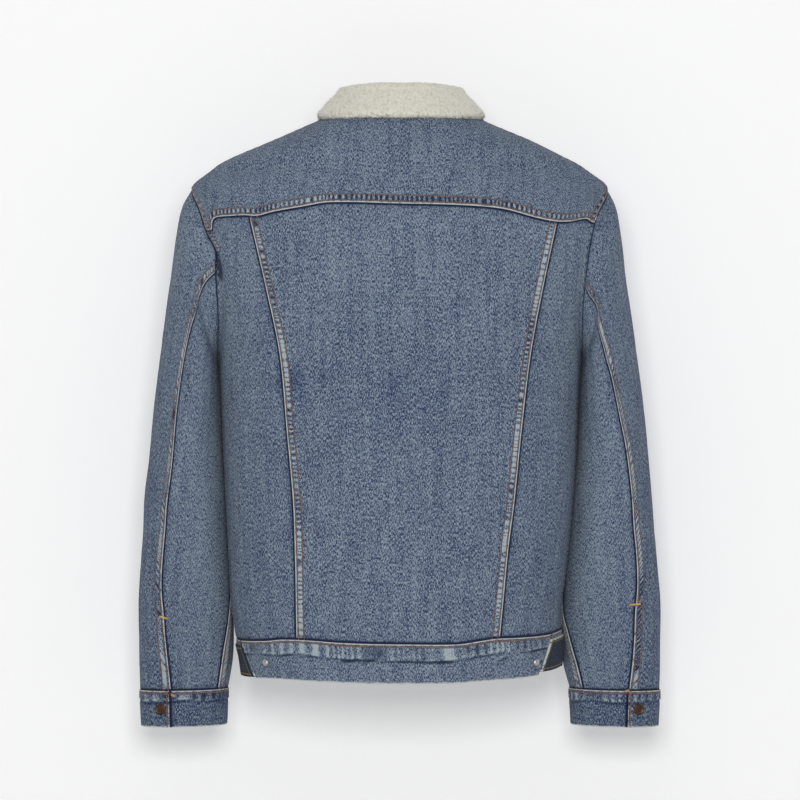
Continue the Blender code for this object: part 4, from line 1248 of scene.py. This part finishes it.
def layCloth():
    # every piece of denim, by the name of the solid that it takes the place of
    laid = {}

    def lay(name, surface, edges, pitch, outward=outOfBody, **extra):
        order = dict(zip(borders, edges))
        laid[name] = Cloth(name + "_cloth", surface, order, pitch, outward, **extra)

    above = chains["yoke"]
    hole = {}
    for border, side in (("left", 1), ("right", -1)):
        hole[border] = lambda v, side=side: ((v - above) / (1 - above) * cut["yokeTurn"][side], v > above)
    back, sleeves = pressed(backCreases), pressed(sleeveCreases, 0.15)
    worn = dict(felled, fresh=-0.5)
    lay("yoke_back", yokeSurface, (worn, worn, plain, felled), (1.55, 3.8), relief=back, hole=hole)
    lay("back_centre", centreSurface, (felledPale, felledPale, tucked, tucked), (4.6, 1.55), relief=back)
    ends = dict(bandEnd, fresh=3.0), dict(bandEnd, fresh=-0.6)
    lay("waistband_back", backBandSurface, (*ends, bandTop, folded), (1.2, 1.3), wall=cut["bandWall"],
        relief=pressed(bandCreases), tone=0.06)
    sewn = dict(folded, rows=(5.5,))
    lay("front_placket", placketSurface, (sewn, sewn, folded, folded), (2.5, 2.5), wall=placket["wall"],
        rise=placket["wall"] + cut["restGap"])
    for side, word in sides:
        start, middle = chains["back"], chains["front"]
        turn = cut["yokeTurn"][side]
        hole = {"left": lambda v, turn=turn: (between(turn, 180.0, v / start), v < start)}
        seen = 0.05 if side < 0 else -1.0
        edge = (dict(felled, where=within(-2, seen)), dict(rolled, where=within(seen, start)),
                dict(felled, where=within(start, 2)))
        lay("back_side_" + word, sideSurface(side), (edge, tucked, tucked, tucked), (4.3, 1.9), hole=hole,
            relief=back)
        hole = {"left": lambda v: (between(360.0, 180.0, (v - middle[0]) / (middle[1] - middle[0])),
                                   (v > middle[0]) & (v < middle[1]))}
        edge = (dict(tucked, where=within(-1, middle[0])), dict(felled, where=within(*middle)),
                dict(tucked, where=within(middle[1], 2)))
        lay("front_" + word, frontSurface(side), (edge, plain, plain, tucked), (7.0, 3.0), hole=hole)
        first, last = [float(hand) for hand in sleeveSeams[side][0][1:]]
        hole = {"top": lambda u, a=first, b=last: (between(b - 360, a, u), u > -1)}
        seam = dict(felled, show=0.7, bias=0.28, unrest=1.6, slow=0.6, fresh=0.15)
        lay("sleeve_top_" + word, sleeveSurface(side, True), (seam, seam, tucked, tucked), (4.6, 1.8),
            outOfSleeve(side), hole=hole, relief=sleeves, even=True)
        hole = {"top": lambda u, a=first, b=last: (between(a, b, u), u > -1)}
        lay("sleeve_under_" + word, sleeveSurface(side, False), (tucked, tucked, tucked, tucked), (4.6, 1.8),
            outOfSleeve(side), hole=hole, relief=sleeves, even=True)
        end = dict(bandEnd, rows=(2.2,), fresh=0.5, lift=1.0)
        # the cuffs' tone is set lower, painted shade at the foot of the sleeves
        lay("cuff_" + word, cuffSurface(side), (end, tucked, cuffTop, folded), (1.3, 1.4),
            outOfSleeve(side), wall=cut["bandWall"], relief=overlapped, tone=-0.22)
        lay("waistband_front_" + word, frontBandSurface(side), (tucked, plain, bandTop, folded), (1.8, 2.2),
            wall=cut["bandWall"])
        yellow = dict(folded, rows=(2.6,), thread="yellow", fresh=3.0 if side < 0 else 0.0)
        edges = yellow, folded, yellow, dict(yellow, fresh=3.0)
        # the tabs' tone is set far down, painted shade where they turn away to the sides
        lay("side_tab_" + word, tabSurface(side), edges, (1.6, 1.6), wall=sideTab["wall"],
            rise=sideTab["wall"] + cut["restGap"], tone=-0.60)
    return laid


def overlapped(cloth):
    return cuff["overlap"] * (1 - smoothStep(0, cuff["overlapRun"], cloth.away["left"])), 0.0


# One stitch: rings along it as share of the length, width and drop; a ring's corners across and up.
stitchRings = ((-0.5, 0.35, -0.30), (-0.28, 1, 0), (0.28, 1, 0), (0.5, 0.35, -0.30))
stitchSection = ((1, 0.0), (0, 1.0), (-1, 0.0), (0, -0.5))


def tubeFaces(count, rings, around, capped=False):
    # faces of many short tubes whose corners follow one another, ring by ring
    one = []
    for ring in range(rings - 1):
        low, high = ring * around, (ring + 1) * around
        one += [[low + i, low + (i + 1) % around, high + (i + 1) % around, high + i] for i in range(around)]
    if capped:
        one += [list(range(around))[::-1], list(range((rings - 1) * around, rings * around))]
    return (np.arange(count)[:, None, None] * rings * around + np.array(one)[None]).reshape(-1, 4).tolist()


def stitchesAlong(points, normals, width, length=stitch["length"], gap=stitch["gap"], aside=0.0):
    # corners of every stitch on a line, sixteen to a stitch; aside turns each one across the line
    run, reach, height = arcs(points, 0), stitch["reach"], stitch["height"]
    count = int(run[-1] / (length + gap))
    if count < 1:
        return np.empty((0, len(stitchRings) * len(stitchSection), 3))
    stray = dice.uniform(-stitch["stray"], stitch["stray"], count)
    centres = (np.arange(count) + 0.5) * run[-1] / count + stray

    def read(at, values):
        return np.stack([np.interp(at, run, values[:, i]) for i in range(3)], -1)

    along = unit(read(centres + reach, points) - read(centres - reach, points))
    out = unit(read(centres, normals))
    across = unit(np.cross(along, out))
    if aside:
        along, across, length = across, along, aside
    along = unit(along + across * dice.uniform(-stitch["lean"], stitch["lean"], count)[:, None])
    corners = []
    for share, wide, drop in stitchRings:
        for sideways, up in stitchSection:
            corner = read(centres, points) + along * (share * length) + across * (sideways * width / 2 * wide)
            corners.append(corner + out * (up * height * wide + drop * height + stitch["lift"]))
    return np.stack(corners, 1)


def makeStitches(name, parts, material):
    corners = np.concatenate(parts)
    faces = tubeFaces(len(corners), len(stitchRings), len(stitchSection), True)
    makeMesh("stitches_" + name, corners.reshape(-1, 3), faces, [material])


sewnTogether = {
    "torso": ("yoke", "back", "front"),
    "sleeves": ("sleeve",),
    "bands": ("cuff", "waistband", "side"),
}


def sewCloth(laid, threads):
    for region, words in sewnTogether.items():
        sewn = {}
        rows = [row for name, cloth in laid.items() if name.startswith(words) for row in cloth.rows()]
        for points, normals, kind in rows:
            if len(points) > 3:
                sewn.setdefault(kind, []).append(stitchesAlong(points, normals, stitch["width"][region]))
        for kind, parts in sewn.items():
            makeStitches(kind + "_" + region, parts, threads[kind])


# Bars of close stitches: from and to as x and height, how tall.
barTacks = {
    "leftVent": (-272.2, -559.5, -262.7, -561.8, 2.4),
    "rightVent": (257.6, -546.2, 270.0, -545.3, 2.4),
    "leftCuff": (-259.2, -647.6, -255.9, -649.6, 3.0),
    "rightCuff": (253.0, -644.4, 257.4, -643.0, 3.0),
}
tack = {"width": 0.95, "length": 0.72, "gap": 0.12, "lift": 0.5, "stations": 9, "nearest": 5}


def sewTacks(laid, material):
    cloths = [cloth for name, cloth in laid.items() if name.startswith(("sleeve", "cuff"))]
    points = np.concatenate([cloth.outer.reshape(-1, 3) for cloth in cloths])
    normals = np.concatenate([cloth.normals.reshape(-1, 3) for cloth in cloths])
    points, normals = points[normals[:, 1] < -0.3], normals[normals[:, 1] < -0.3]
    bars = []
    for fromX, fromZ, toX, toZ, tall in barTacks.values():
        line = np.linspace((fromX, 0, fromZ), (toX, 0, toZ), tack["stations"])
        away = np.hypot(points[:, 0] - line[:, :1], points[:, 2] - line[:, 2:])
        near = np.argsort(away, axis=1)[:, :tack["nearest"]]
        share = 1 / (np.take_along_axis(away, near, 1) + 0.3)
        share = share / share.sum(1, keepdims=True)
        line[:, 1] = (points[near, 1] * share).sum(1)
        facing = unit((normals[near] * share[..., None]).sum(1))
        line = line + facing * tack["lift"]
        bars.append(stitchesAlong(line, facing, tack["width"], tack["length"], tack["gap"], tall))
    makeStitches("tacks", bars, material)


collarColumns = ("turn", "foldIn", "foldUp", "edgeOut", "edgeUp")
collarRows = (
    (0, 2, 19, 22, -12),
    (35, 7, 22, 19, -8),
    (62, 13, 24, 14.8, -3.3),
    (90, 20, 26, 11.4, -0.4),
    (125, 13, 23, 17.5, -6),
    (160, 5, 18, 27, -33),
)
collar = {
    "fold": 5.2, "half": 4.0, "base": (-3.5, 1.8), "belly": (0.6, 0.4), "endRound": 4.0,
    "stations": 490, "round": 116, "tuft": 3.1, "tuftDepth": 1.3, "small": 1.4, "smallDepth": 0.5,
}


def collarSection(turn):
    # the folded collar cut across, closed, as (outward, up) from the neck seam
    read = [readTable(collarColumns, collarRows, column, abs(turn)) for column in collarColumns[1:]]
    foldIn, foldUp, edge = read[0], read[1], np.array(read[2:])
    bend, half = collar["fold"], collar["half"]
    crown = np.array([bend - foldIn, foldUp - bend])
    up = between(np.array(collar["base"]), crown - (bend, 0), np.linspace(0, 1, 9)[:-1, None])
    angle = np.radians(np.linspace(180, 0, 15))[:, None]
    over = crown + bend * np.concatenate([np.cos(angle), np.sin(angle)], 1)
    share = np.linspace(0, 1, 16)[1:, None]
    down = between(crown + (bend, 0), edge, share) + np.array(collar["belly"]) * 4 * share * (1 - share)
    middle = np.concatenate([up, over, down])
    run = unit(np.gradient(middle, axis=0))
    aside = np.stack([-run[:, 1], run[:, 0]], 1) * half
    caps = []
    for at, sign in ((-1, 1), (0, -1)):
        turns = np.radians(np.linspace(90, -90, 9)[1:-1])[:, None]
        curve = np.cos(turns) * run[at] * sign + np.sin(turns) * aside[at] / half * sign
        caps.append(middle[at] + half * curve)
    loop = np.concatenate([middle + aside, caps[0], (middle - aside)[::-1], caps[1]])
    loop = np.concatenate([loop, loop[:1]])
    lengths = arcs(loop, 0)
    goal = np.linspace(0, lengths[-1], collar["round"] + 1)[:-1]
    return np.stack([np.interp(goal, lengths, loop[:, i]) for i in (0, 1)], 1)


def cellDepth(points, size, seed):
    # nearest and second nearest of scattered spots, one to each cell of that size
    spots = points / size
    home = np.floor(spots)
    first, second = np.full(len(spots), 9.0), np.full(len(spots), 9.0)
    for i in (-1, 0, 1):
        for j in (-1, 0, 1):
            for k in (-1, 0, 1):
                cell = home + (i, j, k)
                centre = cell + np.stack([scattered(*cell.T, seed + n) for n in range(3)], -1)
                away = np.linalg.norm(spots - centre, axis=1)
                second = np.minimum(second, np.maximum(first, away))
                first = np.minimum(first, away)
    return first, second


def collarGrid():
    # points and normals of the collar before its pile: a ring at each station round the neck
    reach = collarRows[-1][0]
    turns = np.linspace(-reach, reach, collar["stations"])
    seam = plainBody(cut["neck"], 90 + turns)
    tangent = plainBody(cut["neck"], 92 + turns) - plainBody(cut["neck"], 88 + turns)
    out = unit(np.stack([-tangent[:, 1], tangent[:, 0], 0 * turns], -1))
    out = out * np.sign(np.sum(out * seam * (1, 1, 0), -1))[:, None]
    rings = np.stack([collarSection(turn) for turn in turns])
    points = seam[:, None] + out[:, None] * rings[..., :1] + np.array([0, 0, 1.0]) * rings[..., 1:]
    run = arcs(points.mean(1), 0)
    left = np.minimum(run, run[-1] - run)
    near = 1 - np.minimum(left / collar["endRound"], 1)
    plump = np.sqrt(np.clip(1 - near ** 2, 0.02, 1))[:, None, None]
    points = points.mean(1, keepdims=True) + (points - points.mean(1, keepdims=True)) * plump
    closed = np.concatenate([points[:, -1:], points, points[:, :1]], 1)
    normals = gridNormals(closed, 1.0)[:, 1:-1]
    centre = points.mean(1, keepdims=True)
    return points, normals * (1.0 if np.sum(normals * (points - centre)) > 0 else -1.0)


def makeCollar(material):
    points, normals = collarGrid()
    flat, out, count = points.reshape(-1, 3), normals.reshape(-1, 3), points.shape[1]
    first, second = cellDepth(flat, collar["tuft"], 3)
    small = cellDepth(flat, collar["small"], 8)[0]
    # shaggy along the lower edge, with painted shade in the gaps between the tufts
    low = np.exp(-np.maximum(flat[:, 2] - points[..., 2].min(1).repeat(count) - 1.0, 0) / 3.0)
    height = collar["tuftDepth"] * (0.75 - first) * (1 + 1.3 * low) + collar["smallDepth"] * (0.6 - small)
    # depth sets the pile's painted shade: darker between tufts and along the lower edge
    depth = np.clip(0.25 + 0.9 * (second - first) + (0.5 + 1.5 * low) * (0.55 - first), -0.4, 1)
    spots = flat + out * height[:, None]
    index = np.arange(len(flat)).reshape(-1, count)
    beside = np.roll(index, -1, axis=1)
    faces = np.stack([index[:-1], beside[:-1], beside[1:], index[1:]], -1).reshape(-1, 4).tolist()
    faces += [index[0][::-1].tolist(), index[-1].tolist()]
    test = spots[np.array(faces[:200])]
    facing = np.cross(test[:, 1] - test[:, 0], test[:, 2] - test[:, 0])
    if np.sum(facing * out[np.array(faces[:200])[:, 0]]) < 0:
        faces = [face[::-1] for face in faces]
    piece = makeMesh("collar_pile", spots, faces, [material], values={"depth": depth}, sharp=180)
    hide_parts("collar")
    curls = makeCurls(material, flat, out, low)
    size = arcs(points, 0)[-1].mean() * mm, arcs(points, 1)[:, -1].mean() * mm / 2
    print("collar %.3f x %.3f m" % size)


curl = {
    "count": 5900, "length": (1.6, 3.6), "thick": (0.22, 0.42), "turn": (2.0, 3.6), "rise": (0.3, 1.0),
    "stations": 5, "sides": 3, "root": 0.1, "droop": 0.55, "hang": 0.9, "longer": 0.55, "taper": 0.75,
    "depth": (0.35, 0.9),
}


def makeCurls(material, flat, out, low):
    # loose curls of pile, most of them along the lower edge of the collar's fall
    shown = out[:, 2] < 0.9
    chance = (0.25 + 2.6 * low) * shown
    picks = dice.choice(len(flat), curl["count"], p=chance / chance.sum())
    root, normal, hang = flat[picks] + out[picks] * curl["root"], out[picks], low[picks][:, None]

    def draw(key):
        return dice.uniform(*curl[key], hang.shape)

    wander = unit(dice.normal(size=normal.shape) - (0, 0, curl["droop"]))
    wander = wander - np.array([0, 0, curl["hang"]]) * hang
    along = unit(normal * draw("rise") + wander * 0.8)
    bend = unit(np.cross(along, dice.normal(size=along.shape)))
    length, thick = draw("length") * (1 + curl["longer"] * hang), draw("thick")
    corners = []
    for share in np.linspace(0, 1, curl["stations"]):
        turn = draw("turn") * share
        spot = root + along * length * np.sin(turn) / 2.4 + bend * length * (1 - np.cos(turn)) / 3.0
        for angle in np.arange(curl["sides"]) * 2 * math.pi / curl["sides"]:
            side = bend * math.cos(angle) + np.cross(along, bend) * math.sin(angle)
            corners.append(spot + side * thick * (1 - curl["taper"] * share ** 2))
    corners = np.stack(corners, 1).reshape(-1, 3)
    faces = tubeFaces(len(picks), curl["stations"], curl["sides"])
    # each curl is painted darker toward its root, painted shade down in the pile
    depth = np.tile(np.repeat(np.linspace(*curl["depth"], curl["stations"]), curl["sides"]), len(picks))
    piece = makeMesh("collar_curls", corners, faces, [material], values={"depth": depth}, sharp=180)
    return piece


# Turned metal: radius and height down the profile, from the middle of the face to the cloth.
tackProfile = (
    (0, 3.25), (2.2, 3.25), (3.9, 3.3), (4.5, 3.42), (4.9, 3.75), (5.5, 3.92), (6.2, 3.8), (6.8, 3.4),
    (7.15, 2.8), (7.2, 2.3), (7.0, 1.8), (6.5, 1.5), (4.0, 1.4), (2.6, 1.3), (2.6, 0), (0, 0),
)
cuffProfile = (
    (0, 2.95), (2.0, 2.95), (3.5, 3.0), (4.1, 3.1), (4.5, 3.38), (5.0, 3.46), (5.6, 3.3), (6.1, 2.9),
    (6.38, 2.4), (6.35, 1.9), (6.1, 1.5), (5.6, 1.3), (3.6, 1.2), (2.2, 1.1), (2.2, 0), (0, 0),
)
domeProfile = (
    (0, 2.85), (0.8, 2.8), (1.6, 2.62), (2.3, 2.38), (3.0, 2.02), (3.5, 1.62), (3.85, 1.2), (4.05, 0.75),
    (4.2, 0.4), (4.2, 0), (0, 0),
)


turnedSides = 48


def turned(name, profile, spot, facing, material, slot):
    # a part of metal turned about its own middle, from a profile that starts and ends there
    facing, around = unit(np.asarray(facing, float)), turnedSides
    first = unit(np.cross(facing, (0.2, 0.1, 1.0)))
    second = np.cross(facing, first)
    rim, points = profile[1:-1], [spot + facing * profile[0][1]]
    for radius, height in rim:
        for step in range(around):
            angle = 2 * math.pi * step / around
            spoke = first * math.cos(angle) + second * math.sin(angle)
            points.append(spot + facing * height + radius * spoke)
    points.append(spot + facing * profile[-1][1])
    faces = []
    last = len(points) - 1
    for step in range(around):
        beside = (step + 1) % around
        faces.append((0, 1 + step, 1 + beside))
        for ring in range(len(rim) - 1):
            low, high = 1 + ring * around, 1 + (ring + 1) * around
            faces.append((low + step, high + step, high + beside, low + beside))
        low = 1 + (len(rim) - 1) * around
        faces.append((last, low + beside, low + step))
    piece = makeMesh(name + "_metal", np.array(points), faces, [material], sharp=40)
    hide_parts(name)


def normalAt(surface, out, spot, step=0.5):
    # outward direction of a surface of (level, turn) or (share, hand)
    first, second = np.array(spot, float), np.array(out, float)
    here = [surface(first[0] + a, first[1] + b) for a, b in ((step, 0), (-step, 0), (0, step), (0, -step))]
    facing = unit(np.cross(here[0] - here[1], here[2] - here[3]))
    return facing if np.dot(facing, second) > 0 else -facing


unlined = ("cuff", "waistband", "side_tab", "front_placket")
frontButtonLevels = (-72, -175, -277, -379, -481, -604)
studPlace = {"x": 149.0, "drop": 24.0, "height": 0.9}
cuffButton = {"hand": 63.0, "share": 0.5, "height": 1.7}


def onBody(level, turn, height):
    # place and facing of a part that stands that high on the body's cloth
    spot = body(level, turn)
    facing = normalAt(body, spot * (1, 1, 0), (level, turn))
    return spot + facing * height, facing


def makeMetals(copper, silver):
    for side, word in sides:
        place = cuffButton["share"], cuffButton["hand"]
        spot = cuffPoint(side, *place)
        out = (spot - sleeveMiddle(side, float(sleeveRings))) * (1, 1, 0)
        facing = normalAt(lambda share, hand: cuffPoint(side, share, hand), out, place, 0.3)
        spot = spot + facing * cuffButton["height"]
        turned("cuff_button_" + word, cuffProfile, spot, facing, copper, "copper_metal")
        level = cut["waist"] - studPlace["drop"]
        place = onBody(level, turnAtX(level, side * studPlace["x"]), studPlace["height"])
        turned("stud_" + word, domeProfile, *place, silver, "silver_metal")
    for number, level in enumerate(frontButtonLevels, start=1):
        place = onBody(level, -90.0, placket["wall"] + 2 * cut["restGap"])
        turned("front_button_%d" % number, tackProfile, *place, copper, "copper_metal")


def makeJacket():
    print("materials")
    denimCloth, pile, inside = makeDenim(), makeSherpa(), makeLining()
    threads = {name: makeThread(name) for name in ("rust", "yellow")}
    copper, silver = makeMetal("copper"), makeMetal("silver")
    print("cloth")
    laid = layCloth()
    for name, cloth in laid.items():
        piece = cloth.build([denimCloth, inside], not name.startswith(unlined))
        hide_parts(name)
        width, length, area = cloth.flatSize()
        min(area, width * length)
        print("%s %.3f x %.3f m, %.4f m2, %d faces" % (name, width, length, area, len(piece.data.polygons)))
    print("thread")
    sewCloth(laid, threads)
    sewTacks(laid, makeThread("gold"))
    print("collar")
    makeCollar(pile)
    print("metal")
    makeMetals(copper, silver)


makeView()
makeStage()
makeJacket()

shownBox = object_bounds()
[[list(map(float, corner)) for corner in box] for box in (cadBox, shownBox)]
